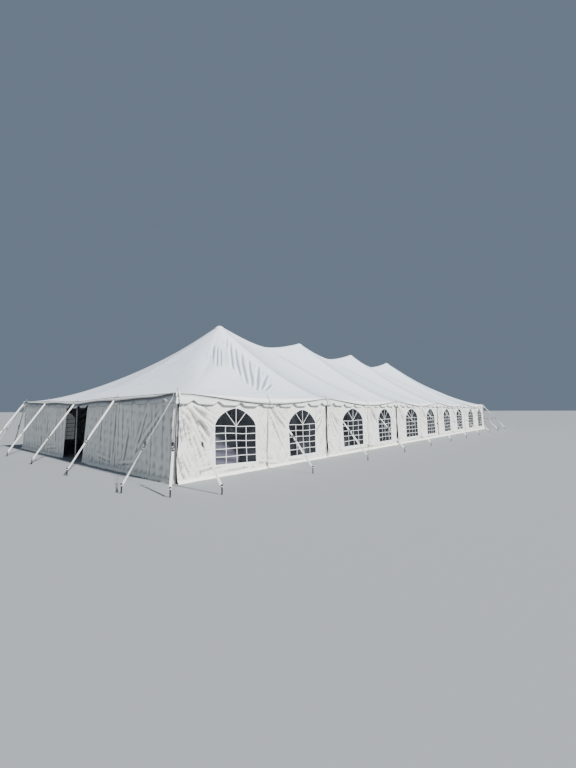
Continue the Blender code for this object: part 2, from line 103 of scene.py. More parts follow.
camera_data = bpy.data.cameras.new("camera")
camera_data.lens = CAMERA_LENS
camera_data.clip_end = FARTHEST_SEEN
camera = bpy.data.objects.new("camera", camera_data)
bpy.context.scene.collection.objects.link(camera)
level = math.cos(CAMERA_PITCH)
ahead, aside = level * math.cos(CAMERA_YAW), level * math.sin(CAMERA_YAW)
looking = Vector((ahead, aside, math.sin(CAMERA_PITCH)))
turn = looking.to_track_quat("-Z", "Y").to_matrix() @ Matrix.Rotation(CAMERA_ROLL, 3, "Z")
camera.matrix_world = Matrix.Translation(CAMERA_PLACE) @ turn.to_4x4()
bpy.context.scene.camera = camera
print("camera looks along", [round(value, 3) for value in looking])

# %% [markdown]
# ## Floor and light
# The tent stands on a plain pale floor. One lamp does the sun's work: it comes from the front
# and a little from the right, so the long wall is bright, the doorway's side is in shade, and
# the scallops throw short shadows on the wall. A sun lamp is used because a tent is too large
# for an area lamp to light evenly. The pale world fills the shadows, and a second, very wide
# and weak lamp from the left stands for the bright part of the sky, so that the shaded side's
# folds can be seen.

# %% Floor, lamp and world
FLOOR_SIZE = 900
FLOOR_COLOUR = (0.295, 0.31, 0.322)
FLOOR_ROUGHNESS = 0.9
FLOOR_SHINE = 0.1
TOWARDS_SUN = Vector((0.08, -0.72, 0.66))
SUN_STRENGTH = 8.0
SUN_WIDTH = math.radians(3)
SUN_COLOUR = (1.0, 0.995, 0.985)
TOWARDS_SKY = Vector((-0.60, -0.62, 0.50))
SKY_STRENGTH = 0.16
SKY_WIDTH = math.radians(70)
SKY_COLOUR = (0.86, 0.93, 1.0)
WORLD_COLOUR = (0.46, 0.59, 0.78)
WORLD_STRENGTH = 0.33


def deselect_all():
    """Deselect every object, so that an operator acts on the new piece alone."""
    bpy.ops.object.select_all(action="DESELECT")


def select_only(piece):
    """Select one piece alone and make it the active one, which operators work on."""
    deselect_all()
    piece.select_set(True)
    bpy.context.view_layer.objects.active = piece


deselect_all()
bpy.ops.mesh.primitive_plane_add(size=FLOOR_SIZE)
floor = bpy.context.object
floor.name = "floor"
floor_paint = bpy.data.materials.new("floor_paint")
floor_paint.use_nodes = True
floor_shader = floor_paint.node_tree.nodes["Principled BSDF"]
floor_shader.inputs["Base Color"].default_value = (*FLOOR_COLOUR, 1)
floor_shader.inputs["Roughness"].default_value = FLOOR_ROUGHNESS
floor_shader.inputs["Specular IOR Level"].default_value = FLOOR_SHINE
floor.data.materials.append(floor_paint)


def add_sun(name, towards, strength, width, colour):
    """A lamp whose light comes from one direction, as wide as an angle."""
    data = bpy.data.lights.new(name, "SUN")
    data.energy = strength
    data.angle = width
    data.color = colour
    lamp = bpy.data.objects.new(name, data)
    lamp.rotation_mode = "QUATERNION"
    lamp.rotation_quaternion = towards.to_track_quat("Z", "Y")
    bpy.context.scene.collection.objects.link(lamp)


add_sun("sun", TOWARDS_SUN, SUN_STRENGTH, SUN_WIDTH, SUN_COLOUR)
add_sun("bright_sky", TOWARDS_SKY, SKY_STRENGTH, SKY_WIDTH, SKY_COLOUR)

world = bpy.data.worlds.new("studio")
world.use_nodes = True
sky = world.node_tree.nodes["Background"]
sky.inputs["Color"].default_value = (*WORLD_COLOUR, 1)
sky.inputs["Strength"].default_value = WORLD_STRENGTH
bpy.context.scene.world = world
print("sun is", round(math.degrees(math.asin(TOWARDS_SUN.normalized().z))), "degrees high")

# %% [markdown]
# ## Writing a material
# A material here is a small recipe of nodes. Wiring every node by hand takes many lines, so one
# helper adds a node, sets its values and links what comes from other nodes. Every pattern reads
# Object coordinates, which are metres on the tent because all pieces sit at the origin, or the
# piece's own UV map where the pattern runs along a strap.

# %% Node helpers
WHITE = (1, 1, 1)
BLACK = (0, 0, 0)


def add_node(tree, kind, inputs=None, **settings):
    """Add one node: settings are its own values, and inputs are values or sockets to link."""
    made = tree.nodes.new(kind)
    for name, value in settings.items():
        setattr(made, name, value)
    for name, value in (inputs or {}).items():
        if isinstance(value, bpy.types.NodeSocket):
            tree.links.new(value, made.inputs[name])
        else:
            made.inputs[name].default_value = value
    return made


def math_node(tree, operation, *values):
    """A Math node's result, from numbers or sockets."""
    made = add_node(tree, "ShaderNodeMath", dict(enumerate(values)), operation=operation)
    return made.outputs[0]


def start_material(name, roughness, metallic=0.0, specular=0.5):
    """A new material with its shader and its object coordinates."""
    material = bpy.data.materials.new(name)
    material.use_nodes = True
    tree = material.node_tree
    shader = tree.nodes["Principled BSDF"]
    shader.inputs["Roughness"].default_value = roughness
    shader.inputs["Metallic"].default_value = metallic
    shader.inputs["Specular IOR Level"].default_value = specular
    place = tree.nodes.new("ShaderNodeTexCoord").outputs["Object"]
    return material, tree, shader, place


def wire(tree, shader, colour, normal, gloss=None):
    """Link a finish's colour and normal to its shader, and its roughness where that varies."""
    for name, socket in (("Base Color", colour), ("Normal", normal), ("Roughness", gloss)):
        if socket is not None:
            tree.links.new(socket, shader.inputs[name])


def noise(tree, place, scale, detail=2.0, roughness=0.5, distortion=0.0):
    """A noise texture's value."""
    values = {"Vector": place, "Scale": scale, "Detail": detail, "Roughness": roughness}
    values["Distortion"] = distortion
    return add_node(tree, "ShaderNodeTexNoise", values).outputs["Fac"]


def stretched(tree, place, scale):
    """Coordinates stretched by a scale for each axis."""
    return add_node(tree, "ShaderNodeMapping", {"Vector": place, "Scale": scale}).outputs[0]


def ramp(tree, value, low, high, start=BLACK, end=WHITE):
    """A colour that goes from start to end as a value goes from low to high."""
    values = {"Value": value, "From Min": low, "From Max": high}
    share = add_node(tree, "ShaderNodeMapRange", values).outputs[0]
    return colour_mix(tree, {"Factor": share, "A": (*start, 1), "B": (*end, 1)})


def colour_mix(tree, values, blend="MIX"):
    """A colour mixed from A and B by a factor."""
    made = tree.nodes.new("ShaderNodeMix")
    made.data_type = "RGBA"
    made.blend_type = blend
    sockets = {"Factor": 0, "A": 6, "B": 7}
    for name, value in values.items():
        socket = made.inputs[sockets[name]]
        if isinstance(value, bpy.types.NodeSocket):
            tree.links.new(value, socket)
        else:
            socket.default_value = value
    return made.outputs[2]


def tinted(tree, colour, tint):
    """A colour multiplied by another."""
    return colour_mix(tree, {"Factor": 1.0, "A": colour, "B": tint}, "MULTIPLY")


def fold_shade(tree, colour, dark, light):
    """Painted shade in folds and painted highlight on ridges: a colour darkened and lightened by
    the mesh's own fold attribute.
    """
    fold = add_node(tree, "ShaderNodeAttribute", attribute_name="fold").outputs["Fac"]
    sunk = ramp(tree, fold, 0.0, 1.0, WHITE, dark)
    raised = ramp(tree, fold, -1.0, 0.0, light, WHITE)
    return tinted(tree, tinted(tree, colour, sunk), raised)


def bump(tree, height, distance, normal=None, strength=1.0):
    """A Bump node's normal, on top of another one where it is given."""
    values = {"Height": height, "Distance": distance, "Strength": strength}
    if normal is not None:
        values["Normal"] = normal
    return add_node(tree, "ShaderNodeBump", values).outputs[0]


print("node helpers ready")

# %% [markdown]
# ## Coated cloth
# The roof is polyester cloth coated with white vinyl. Close up it shows the threads as a fine
# grid, it has a dull gloss, and its strips are welded with a lap every metre and a half. Rain
# leaves faint streaks down the slope. A picture texture could show that, but procedural noise
# never repeats and needs no file.

# %% Finish of the roof
CLOTH_WIDTH = 1.524
WELD_HALF = 0.018
WELD_RISE = 0.0012
THREAD_SCALE = 450
THREAD_RISE = 0.00004
RAIN_STREAK = (0.94, 0.945, 0.95)
# Painted highlight on the roof's ridges, as a multiplier.
ROOF_RIDGE_HIGHLIGHT = (1.09, 1.08, 1.05)


def threads(tree, place, scale, direction):
    """Fine bands across one axis, as the threads under the coating show."""
    values = {"Vector": place, "Scale": scale, "Distortion": 0.4}
    made = add_node(tree, "ShaderNodeTexWave", values, bands_direction=direction)
    return made.outputs["Fac"]


def weld_mask(tree, along, spacing):
    """1 on a welded lap and 0 elsewhere, for laps that come every spacing."""
    away = math_node(tree, "PINGPONG", along, spacing / 2)
    return math_node(tree, "LESS_THAN", away, WELD_HALF)


def canopy_finish(name, low, high, lap, dark):
    """White coated cloth with welds that run from eave to eave."""
    material, tree, shader, place = start_material(name, 0.42, specular=0.35)
    axes = add_node(tree, "ShaderNodeSeparateXYZ", {"Vector": place})
    clouds = noise(tree, place, 0.35, 4, 0.55)
    streaks = noise(tree, stretched(tree, place, (5.0, 0.7, 0.7)), 1.0, 4, 0.6)
    white = ramp(tree, clouds, 0.35, 0.65, low, high)
    aged = tinted(tree, white, ramp(tree, streaks, 0.45, 0.75, WHITE, RAIN_STREAK))
    weld = weld_mask(tree, axes.outputs["X"], CLOTH_WIDTH)
    toned = colour_mix(tree, {"Factor": weld, "A": aged, "B": (*lap, 1)})
    # Painted shade in folds and under the valance's lip, and painted highlight on ridges and the
    # crescent.
    toned = fold_shade(tree, toned, dark, ROOF_RIDGE_HIGHLIGHT)
    gloss = ramp(tree, streaks, 0.3, 0.7, (0.36,) * 3, (0.50,) * 3)
    first, second = (threads(tree, place, THREAD_SCALE, axis) for axis in ("X", "Y"))
    normal = bump(tree, noise(tree, place, 2.2, 3, 0.5), 0.030)
    normal = bump(tree, weld, WELD_RISE, normal)
    normal = bump(tree, math_node(tree, "ADD", first, second), THREAD_RISE, normal)
    wire(tree, shader, toned, normal, gloss)
    return material


# The same white vinyl in two tints: the roof's blue tint is painted sky light, and the valance's
# is warmer.
canopy_paint = canopy_finish(
    "canopy_vinyl_finish",
    (0.790, 0.860, 0.965),
    (0.850, 0.905, 0.980),
    (0.72, 0.79, 0.89),
    # Painted shade in the roof's folds.
    (0.38, 0.41, 0.46),
)
valance_paint = canopy_finish(
    "valance_vinyl_finish",
    (0.860, 0.865, 0.850),
    (0.900, 0.900, 0.880),
    (0.82, 0.83, 0.82),
    # Painted shade under the valance's lip and along its edge, darker than the roof's.
    (0.20, 0.21, 0.22),
)
print("made", canopy_paint.name, "and", valance_paint.name)

# %% [markdown]
# ## Wall cloth
# The sidewalls are thinner and softer than the roof. They are packed and unpacked for every
# party, so they keep creases, and their feet touch the ground, where the hem is thicker, a
# little yellow and splashed. The foot's colour follows the height above the floor, and the
# creases are bump on top of the folds that the mesh itself will have. The folds get painted
# shade in their hollows and painted highlight on their ridges, and the hem gets painted light.

# %% Finish of the walls
FOOT_HEM = 0.060
STITCH_HALF = 0.004
MUD_HEIGHT = 0.35
MUD_SHARE = 0.22
MUD_COLOUR = (0.50, 0.47, 0.36, 1)
HEM_SHARE = 0.85
HEM_COLOUR = (0.98, 0.96, 0.84, 1)
WALL_TONES = ((0.850, 0.845, 0.805), (0.905, 0.895, 0.855))
# Painted shade for the folds' hollows, and painted highlight for their ridges and the hem.
WALL_FOLD_SHADE = (0.34, 0.35, 0.355)
WALL_RIDGE_HIGHLIGHT = (1.08, 1.08, 1.07)


def wall_finish():
    """Softer white cloth with creases, a thick foot hem and a splashed foot."""
    material, tree, shader, place = start_material("wall_vinyl_finish", 0.48, specular=0.35)
    axes = add_node(tree, "ShaderNodeSeparateXYZ", {"Vector": place})
    height = axes.outputs["Z"]
    clouds = noise(tree, place, 1.1, 4, 0.6)
    white = ramp(tree, clouds, 0.35, 0.65, *WALL_TONES)
    splash = noise(tree, place, 9.0, 5, 0.65)
    low = ramp(tree, height, 0.0, MUD_HEIGHT, WHITE, BLACK)
    mud = math_node(tree, "MULTIPLY", low, math_node(tree, "GREATER_THAN", splash, 0.56))
    mud = math_node(tree, "MULTIPLY", mud, MUD_SHARE)
    dirty = colour_mix(tree, {"Factor": mud, "A": white, "B": MUD_COLOUR})
    hem = math_node(tree, "LESS_THAN", height, FOOT_HEM)
    hem_share = math_node(tree, "MULTIPLY", hem, HEM_SHARE)
    hemmed = colour_mix(tree, {"Factor": hem_share, "A": dirty, "B": HEM_COLOUR})
    # Painted shade in folds, painted highlight on ridges, and painted light on the hem.
    folded = fold_shade(tree, hemmed, WALL_FOLD_SHADE, WALL_RIDGE_HIGHLIGHT)
    crease = noise(tree, place, 7.0, 4, 0.6, 0.6)
    fine = noise(tree, place, 28.0, 3, 0.5)
    first, second = (threads(tree, place, THREAD_SCALE, axis) for axis in ("X", "Z"))
    weave = math_node(tree, "ADD", first, second)
    stitch = math_node(tree, "COMPARE", height, FOOT_HEM, STITCH_HALF)
    normal = bump(tree, crease, 0.034)
    normal = bump(tree, fine, 0.004, normal)
    normal = bump(tree, hem, 0.002, normal)
    normal = bump(tree, stitch, -0.001, normal)
    normal = bump(tree, weave, THREAD_RISE, normal)
    wire(tree, shader, folded, normal)
    return material


wall_paint = wall_finish()
print("made", wall_paint.name)

# %% [markdown]
# ## Clear vinyl
# The windows are soft clear vinyl, welded in. From outside they look nearly black, because the
# tent is dark inside, with grey patches where the sheet mirrors the sky. Real clear sheet is
# wet-looking, so it gets a low roughness, a colour that is partly see-through, and ripples as
# bump. That colour is partly a smoky tint and partly painted shade of the dark inside, and the
# grey patches are painted reflection.

# %% Finish of the windows and their bars
SMOKE_AND_SHADE_TONES = ((0.010, 0.012, 0.015), (0.040, 0.045, 0.054))
PAINTED_GLARE_COLOUR = (0.19, 0.19, 0.24, 1)
SHEET_OPACITY = 0.60
TRIM_TONES = ((0.86, 0.87, 0.87), (0.91, 0.915, 0.91))


def window_finish():
    """Clear vinyl with ripples: a smoky tint with painted shade of the inside, and painted
    reflection.
    """
    material, tree, shader, place = start_material("clear_vinyl_finish", 0.12, specular=0.32)
    haze = noise(tree, place, 1.6, 3, 0.6, 0.8)
    # Painted shade: the sheet's near-black tint stands partly for the dark inside.
    smoke_and_shade = ramp(tree, haze, 0.42, 0.72, *SMOKE_AND_SHADE_TONES)
    glare = add_node(tree, "ShaderNodeAttribute", attribute_name="glare").outputs["Fac"]
    # Painted reflection of the sky, where the glare attribute says.
    lit = colour_mix(tree, {"Factor": glare, "A": smoke_and_shade, "B": PAINTED_GLARE_COLOUR})
    shader.inputs["Alpha"].default_value = SHEET_OPACITY
    ripple = noise(tree, stretched(tree, place, (2.0, 2.0, 6.0)), 1.5, 3, 0.5, 1.0)
    wire(tree, shader, lit, bump(tree, ripple, 0.012))
    return material


def trim_finish():
    """Smooth white vinyl strip, brighter than the wall, as the window bars are."""
    material, tree, shader, place = start_material("trim_vinyl_finish", 0.38, specular=0.4)
    tone = noise(tree, place, 6.0, 3, 0.6)
    white = ramp(tree, tone, 0.3, 0.7, *TRIM_TONES)
    wire(tree, shader, white, bump(tree, noise(tree, place, 40.0, 2), 0.001))
    return material


window_paint = window_finish()
trim_paint = trim_finish()
print("made", window_paint.name, "and", trim_paint.name)

# %% [markdown]
# ## Webbing and steel
# The guys are woven polyester straps: the weave shows as fine ribs across, which a wave pattern
# gives on the strap's own UV map, so that it follows the strap whichever way it runs. Ratchets
# are dark steel, poles are dull galvanised steel, and stakes are bare rods, dark with rust.

# %% Finishes of straps, fittings, poles and stakes
RIB_SCALE = 120.0
RIB_RISE = 0.0008
RIB_GROOVE = (0.92, 0.92, 0.92)
STRAP_TONES = ((0.96, 0.96, 0.94), (0.88, 0.87, 0.83))


def webbing_finish():
    """Woven strap: ribs across and a little grime."""
    material, tree, shader, place = start_material("strap_web_finish", 0.72, specular=0.3)
    along = tree.nodes.new("ShaderNodeUVMap").outputs["UV"]
    values = {"Vector": along, "Scale": RIB_SCALE}
    ribs = add_node(tree, "ShaderNodeTexWave", values, bands_direction="Y").outputs["Fac"]
    tone = ramp(tree, noise(tree, place, 5.0, 4, 0.6), 0.35, 0.75, *STRAP_TONES)
    woven = tinted(tree, tone, ramp(tree, ribs, 0.0, 1.0, RIB_GROOVE, WHITE))
    wire(tree, shader, woven, bump(tree, ribs, RIB_RISE))
    return material


def metal_finish(name, dark, light, roughness, metallic, scale):
    """Metal whose tone and roughness vary with a noise."""
    material, tree, shader, place = start_material(name, roughness, metallic)
    tone = noise(tree, place, scale, 5, 0.65)
    colour = ramp(tree, tone, 0.3, 0.7, dark, light)
    polished, worn = (roughness - 0.10,) * 3, (roughness + 0.12,) * 3
    gloss = ramp(tree, tone, 0.3, 0.7, polished, worn)
    wire(tree, shader, colour, bump(tree, noise(tree, place, scale * 3, 3), 0.0006), gloss)
    return material


RATCHET_TONES = ((0.028, 0.029, 0.031), (0.085, 0.085, 0.088))
POLE_TONES = ((0.31, 0.32, 0.33), (0.50, 0.51, 0.52))
STAKE_TONES = ((0.010, 0.009, 0.008), (0.034, 0.027, 0.021))

webbing_paint = webbing_finish()
ratchet_paint = metal_finish("ratchet_finish", *RATCHET_TONES, 0.50, 0.5, 30.0)
pole_paint = metal_finish("pole_steel_finish", *POLE_TONES, 0.42, 0.85, 9.0)
stake_paint = metal_finish("stake_finish", *STAKE_TONES, 0.7, 0.4, 25.0)
print("made", len(bpy.data.materials), "materials in all")

# %% [markdown]
# ## The shape of the roof
# Canvas pulled over four poles is high at each pole, sags between them along the ridge, and
# falls to the eave in a hollow curve. The same formula made the CAD roof, on a coarse grid. Here
# it is written for whole arrays at once, because numpy can then move ten thousand points of a
# mesh in one step. Sculpting it by hand would look as soft, but it wouldn't meet the poles.

# %% Height of the roof
HIP_ROUNDING = 4
EAVE_ROUNDING = 60


def pole_dips(length):
    """How far the rim dips at each pole of a side, from one corner to the other."""
    if length > 2 * HALF_WIDTH + BAY:
        steps = np.arange(LONG_BAYS + 1)
        return EAVE_DIP * (np.minimum(steps, LONG_BAYS - steps) % 2)
    steps = np.arange(SHORT_BAYS + 1)
    return SHORT_SIDE_DIP * np.sin(math.pi * steps / SHORT_BAYS) ** 4


def rim_dip(along, length):
    """How far the rim dips along a side, which is level round every pole."""
    dips = pole_dips(length)
    step = np.clip(np.floor(along / BAY), 0, len(dips) - 2).astype(int)
    share = np.clip((along - step * BAY - PEAK_FLAT) / (BAY - 2 * PEAK_FLAT), 0, 1)
    return dips[step] + (dips[step + 1] - dips[step]) * np.sin(share * math.pi / 2) ** 2


def dip_left(inward):
    """Share of the rim's dip that is left at a distance inward from it."""
    return np.clip(1 - np.maximum(0, inward) / CREASE_REACH, 0, 1)


def middle_height(x, across):
    """Height between the first and the last peak."""
    away = np.min([np.abs(x - line) for line in lace_lines], axis=0)
    closeness = np.clip(1 - np.maximum(0, away - PEAK_FLAT) / (SECTION / 2 - PEAK_FLAT), 0, 1)
    ridge = PEAK_HEIGHT - SADDLE_DROP * (1 - closeness**RIDGE_CURVE)
    curve = STATION_CURVE + (MIDSPAN_CURVE - STATION_CURVE) * away / (SECTION / 2)
    return EAVE_HEIGHT + (ridge - EAVE_HEIGHT) * (1 - across) ** curve


def end_height(x, across):
    """Height past the first and the last peak, where the roof falls on three sides."""
    beyond = np.clip((np.abs(x) - LAST_PEAK - PEAK_FLAT) / (SECTION - EDGE_LAP - PEAK_FLAT), 0, 1)
    large = np.maximum(np.maximum(beyond, across), 1e-9)
    diagonal = np.minimum(beyond, across) / large
    roundness = HIP_ROUNDING + EAVE_ROUNDING * large**4
    reach = np.minimum(1, large * (1 + diagonal**roundness) ** (1 / roundness))
    hip_curve = np.where(x < 0, LEFT_HIP_CURVE, RIGHT_HIP_CURVE)
    curve = STATION_CURVE + (hip_curve - STATION_CURVE) * diagonal
    return EAVE_HEIGHT + (PEAK_HEIGHT - EAVE_HEIGHT) * (1 - reach) ** curve


def roof_height(x, y):
    """Height of the roof's outer face over points of the floor."""
    run = HALF_WIDTH - EDGE_LAP - PEAK_FLAT
    across = np.clip((np.abs(y) - PEAK_FLAT) / run, 0, 1)
    taut = np.where(np.abs(x) > LAST_PEAK, end_height(x, across), middle_height(x, across))
    from_long, from_short = HALF_WIDTH - EDGE_LAP - np.abs(y), HALF_LENGTH - EDGE_LAP - np.abs(x)
    long_dip = rim_dip(x + HALF_LENGTH, 2 * HALF_LENGTH) * dip_left(from_long)
    short_dip = rim_dip(y + HALF_WIDTH, 2 * HALF_WIDTH) * dip_left(from_short)
    return taut - long_dip - short_dip


def roof_at(x, y):
    """The roof's height over one point, such as a pole."""
    return float(roof_height(np.array([x]), np.array([y]))[0])


saddle = round(roof_at(0.0, 0.0), 2)
print("the ridge is", PEAK_HEIGHT, "m high at a pole and", saddle, "m between")

# %% [markdown]
# ## Tension folds
# Where a guy pulls on the eave, the cloth gathers into long folds that fan out from the pole up
# the slope. The photograph shows such a fan over the pole next to the near corner, and a group
# of short folds beside it. Each of these is a valley along a bent line of a few points, with a
# width and a depth, measured off the photograph. Every other low pole gets a weak fan, a wave in
# the angle round the pole that fades in and out with the distance.

# %% Folds of the roof
RIDGE_SHARE = 0.55
RIDGE_AWAY = 1.9
FAN_CENTRE_OUT = 1.2
FAN_ANGLES = (72.0, 108.0)
FAN_SPACING = 6.0
FAN_SIZE = 0.006
SWELL = 0.010
DRIFT = 0.006


def smooth_step(value, start, end):
    """0 before start, 1 after end, and a soft change between."""
    share = np.clip((value - start) / (end - start), 0, 1)
    return share * share * (3 - 2 * share)


def window_between(value, low, high, fade):
    """1 between low and high, fading to 0 over a distance outside them."""
    return smooth_step(value, low - fade, low) * (1 - smooth_step(value, high, high + fade))


def fan(away_x, away_y):
    """Folds that fan up the slope from a pole: a wave in the angle, kept between two distances."""
    distance = np.hypot(away_x, away_y)
    angle = np.degrees(np.arctan2(away_y, away_x))
    wave = np.cos(2 * math.pi * (angle - FAN_ANGLES[0]) / FAN_SPACING)
    sharp = np.sign(wave) * np.abs(wave) ** 0.8
    fade = window_between(angle, *FAN_ANGLES, FAN_SPACING * 0.6)
    return FAN_SIZE * sharp * fade * window_between(distance, 1.8, 3.4, 0.9)


def fold_line(x, y, points, width, depth):
    """A fold along a bent line: a valley between two low ridges, faded at both ends."""
    nearest = np.full_like(x, 9.0)
    passed = np.zeros_like(x)
    before = 0.0
    for start, end in zip(points, points[1:]):
        length = math.dist(start, end)
        way = ((end[0] - start[0]) / length, (end[1] - start[1]) / length)
        along = np.clip((x - start[0]) * way[0] + (y - start[1]) * way[1], 0, length)
        away = np.hypot(x - start[0] - along * way[0], y - start[1] - along * way[1])
        passed = np.where(away < nearest, before + along, passed)
        nearest = np.minimum(nearest, away)
        before += length
    fade = np.sin(math.pi * np.clip(passed / before, 0, 1)) ** 0.6
    ridges = RIDGE_SHARE * np.exp(-(((nearest - RIDGE_AWAY * width) / width) ** 2))
    return depth * fade * (ridges - np.exp(-((nearest / width) ** 2)))


print("a soft step from 0 to 1 is", float(smooth_step(0.5, 0, 1)), "halfway")

# %% Where the roof's folds lie
NEAR_FOLDS = (
    (((-9.46, -0.97), (-9.80, -1.36), (-10.08, -1.72)), 0.045, 0.018),
    (((-9.45, -1.22), (-9.98, -1.83), (-10.39, -2.37), (-11.17, -3.37)), 0.055, 0.032),
    (((-9.58, -1.69), (-10.16, -2.39), (-10.72, -3.13), (-11.25, -3.90)), 0.055, 0.040),
    (((-9.54, -2.05), (-10.29, -2.94), (-10.93, -3.75), (-11.54, -4.56)), 0.058, 0.046),
    (((-9.61, -2.60), (-10.28, -3.35), (-10.85, -4.03), (-11.51, -4.77)), 0.056, 0.044),
    (((-9.52, -3.06), (-10.32, -3.83), (-11.01, -4.49), (-11.72, -5.20)), 0.056, 0.046),
    (((-9.68, -3.73), (-10.28, -4.17), (-10.94, -4.69), (-11.64, -5.28)), 0.052, 0.036),
    (((-10.31, -4.52), (-10.96, -4.92), (-11.55, -5.30)), 0.048, 0.028),
    (((-10.40, -1.21), (-10.68, -1.48), (-11.34, -2.32)), 0.042, 0.032),
    (((-10.34, -1.19), (-10.78, -1.71), (-11.30, -2.37)), 0.042, 0.030),
    (((-10.39, -1.48), (-10.85, -2.01), (-11.72, -3.13)), 0.044, 0.034),
    (((-10.36, -1.64), (-10.73, -2.10), (-11.57, -3.15)), 0.044, 0.030),
    (((-10.79, -1.49), (-11.37, -2.25)), 0.040, 0.022),
)


def near_corner_folds(x, y):
    """The fan over the first low pole of the front, and the short folds beside it."""
    total = np.zeros_like(x)
    for points, width, depth in NEAR_FOLDS:
        total += fold_line(x, y, points, width, depth)
    return total


def low_pole_folds(x, y):
    """A weaker fan up the slope from every other low pole of the long sides."""
    total = np.zeros_like(x)
    for step in range(3, LONG_BAYS, 2):
        for side in (-1, 1):
            centre_y = side * (HALF_WIDTH + FAN_CENTRE_OUT)
            total += fan((x - long_stations[step]) * -side, (y - centre_y) * -side)
    return total


def slope_swells(x, y):
    """Broad soft swells between the poles, as the cloth slackens and tightens."""
    phase = 2 * math.pi * (x + 0.25 * np.abs(y)) / CLOTH_WIDTH
    wide = np.sin(phase / 2 + 0.4) * np.sin(math.pi * np.clip(np.abs(y) / HALF_WIDTH, 0, 1))
    drift = np.sin(1.7 * x + 0.9 * y + 1.0) * np.sin(0.8 * y - 0.6 * x)
    return SWELL * wide + DRIFT * drift


def roof_relief(x, y):
    """How far the roof's cloth is off its taut shape, which it keeps where it is held."""
    from_peak = np.min([np.hypot(x - line, y) for line in lace_lines], axis=0)
    from_rim = np.minimum(HALF_WIDTH - np.abs(y), HALF_LENGTH - np.abs(x))
    open_slope = smooth_step(from_rim, 0.10, 0.9) * smooth_step(from_peak, 0.12, 1.0)
    folds = near_corner_folds(x, y) + low_pole_folds(x, y)
    return folds * smooth_step(from_peak, 0.3, 0.9) + slope_swells(x, y) * open_slope


def slack_shade(x, y):
    """Painted shade behind each lace line, where one section hangs slacker than the next, and over
    the low pole halfway to the next line, with painted light just before each line.
    """
    total = np.zeros_like(x)
    for line in lace_lines:
        after = x - line
        shade_behind_flap = np.exp(-np.abs(after) / 0.9) * (after > 0.05)
        middle_pole_shade = np.exp(-(((after - BAY) / 0.20) ** 2))
        painted_light_edge = np.exp(-(((after + 0.30) / 0.28) ** 2))
        total += 0.66 * shade_behind_flap + 0.40 * middle_pole_shade - 0.35 * painted_light_edge
    return total * window_between(np.abs(y), 1.4, 6.6, 0.8)


test_x, test_y = np.meshgrid(np.linspace(-15, -9, 300), np.linspace(-6, 0, 300))
print("deepest fold:", round(float(np.abs(near_corner_folds(test_x, test_y)).max()) * 1000), "mm")

# %% [markdown]
# ## Roof sections
# The roof comes in five sections of 20 feet, laced together over the poles. Each one starts as
# a primitive grid, whose points are then moved to the roof's height, and Solidify gives the
# cloth its thickness. The grid's edge is rounded down a little, as a hem is, to meet the
# valance. Only this way does one continuous sheet follow both the ridge and the hips.

# %% Helpers for cloth grids
CLOTH_THICKNESS = 0.003


def grid_piece(name, columns, rows):
    """Add a grid of cells and return it with its points' places across, each from 0 to 1."""
    deselect_all()
    bpy.ops.mesh.primitive_grid_add(x_subdivisions=columns, y_subdivisions=rows, size=1)
    piece = bpy.context.object
    piece.name = name
    piece.data.name = name
    places = np.empty(len(piece.data.vertices) * 3, np.float32)
    piece.data.vertices.foreach_get("co", places)
    places = places.reshape(-1, 3).astype(float)
    return piece, places[:, 0] + 0.5, places[:, 1] + 0.5


def move_points(piece, x, y, z):
    """Move a mesh's points to new places."""
    places = np.stack([x, y, z], axis=1).astype(np.float32)
    piece.data.vertices.foreach_set("co", places.ravel())
    piece.data.update()


def apply_modifiers(piece):
    """Apply a piece's modifiers in their order."""
    select_only(piece)
    for step in list(piece.modifiers):
        bpy.ops.object.modifier_apply(modifier=step.name)


def thicken(piece, thickness, offset=-1.0):
    """Give a cloth its thickness, with a closed rim."""
    shell = piece.modifiers.new("thickness", "SOLIDIFY")
    shell.thickness = thickness
    shell.offset = offset
    shell.use_even_offset = False
    apply_modifiers(piece)


def smooth(piece, degrees=40):
    """Shade a piece smooth, with edges sharper than an angle left crisp."""
    select_only(piece)
    bpy.ops.object.shade_smooth_by_angle(angle=math.radians(degrees))


def dress(piece, material):
    """Give a finished piece its material and its body."""
    piece.data.materials.clear()
    piece.data.materials.append(material)
    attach(piece, "root")


def finish_cloth(piece, thickness, sharpest, material, owner=None):
    """Thicken, smooth and dress a cloth, which takes a CAD node's place where it has an owner."""
    thicken(piece, thickness)
    smooth(piece, sharpest)
    dress(piece, material)
    if owner:
        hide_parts(owner)
    return piece


def write_attribute(piece, name, values):
    """Store one number for each of a mesh's points, for its material to read."""
    layer = piece.data.attributes.new(name, "FLOAT", "POINT")
    layer.data.foreach_set("value", np.asarray(values, np.float32))


# Painted light on cloth where the folds' shade is not shown, such as a wall's hem.
UNSHOWN_FOLD_LIGHT = -0.6
LOOKS_AROUND = 8


def mark_folds(piece, relief, first, second, reach, depth, shown=1.0, shade=0.0):
    """Store how sunk each point is: the relief round it, a reach away, less its own.

    The material paints shade in a fold as deep as depth, where this is 1, and a highlight on a
    ridge as high, where it is -1. Where less of them is shown, the cloth gets painted light
    instead, and shade adds broad painted shade on top.
    """
    own = relief(first, second)
    around = np.zeros_like(own)
    for step in range(LOOKS_AROUND):
        turn = 2 * math.pi * step / LOOKS_AROUND
        beside = relief(first + reach * math.cos(turn), second + reach * math.sin(turn))
        around += beside / LOOKS_AROUND
    folds = np.clip((around - own) / depth, -1, 1)
    marked = folds * shown + UNSHOWN_FOLD_LIGHT * (1 - shown) + shade
    write_attribute(piece, "fold", np.clip(marked, -1, 1))


def triangles(piece):
    """How many triangles a piece's mesh has."""
    return sum(len(face.vertices) - 2 for face in piece.data.polygons)


def cloth_area(piece):
    """A thin closed cloth's area: half of its surface."""
    return sum(face.area for face in piece.data.polygons) / 2


print("cloth helpers ready")

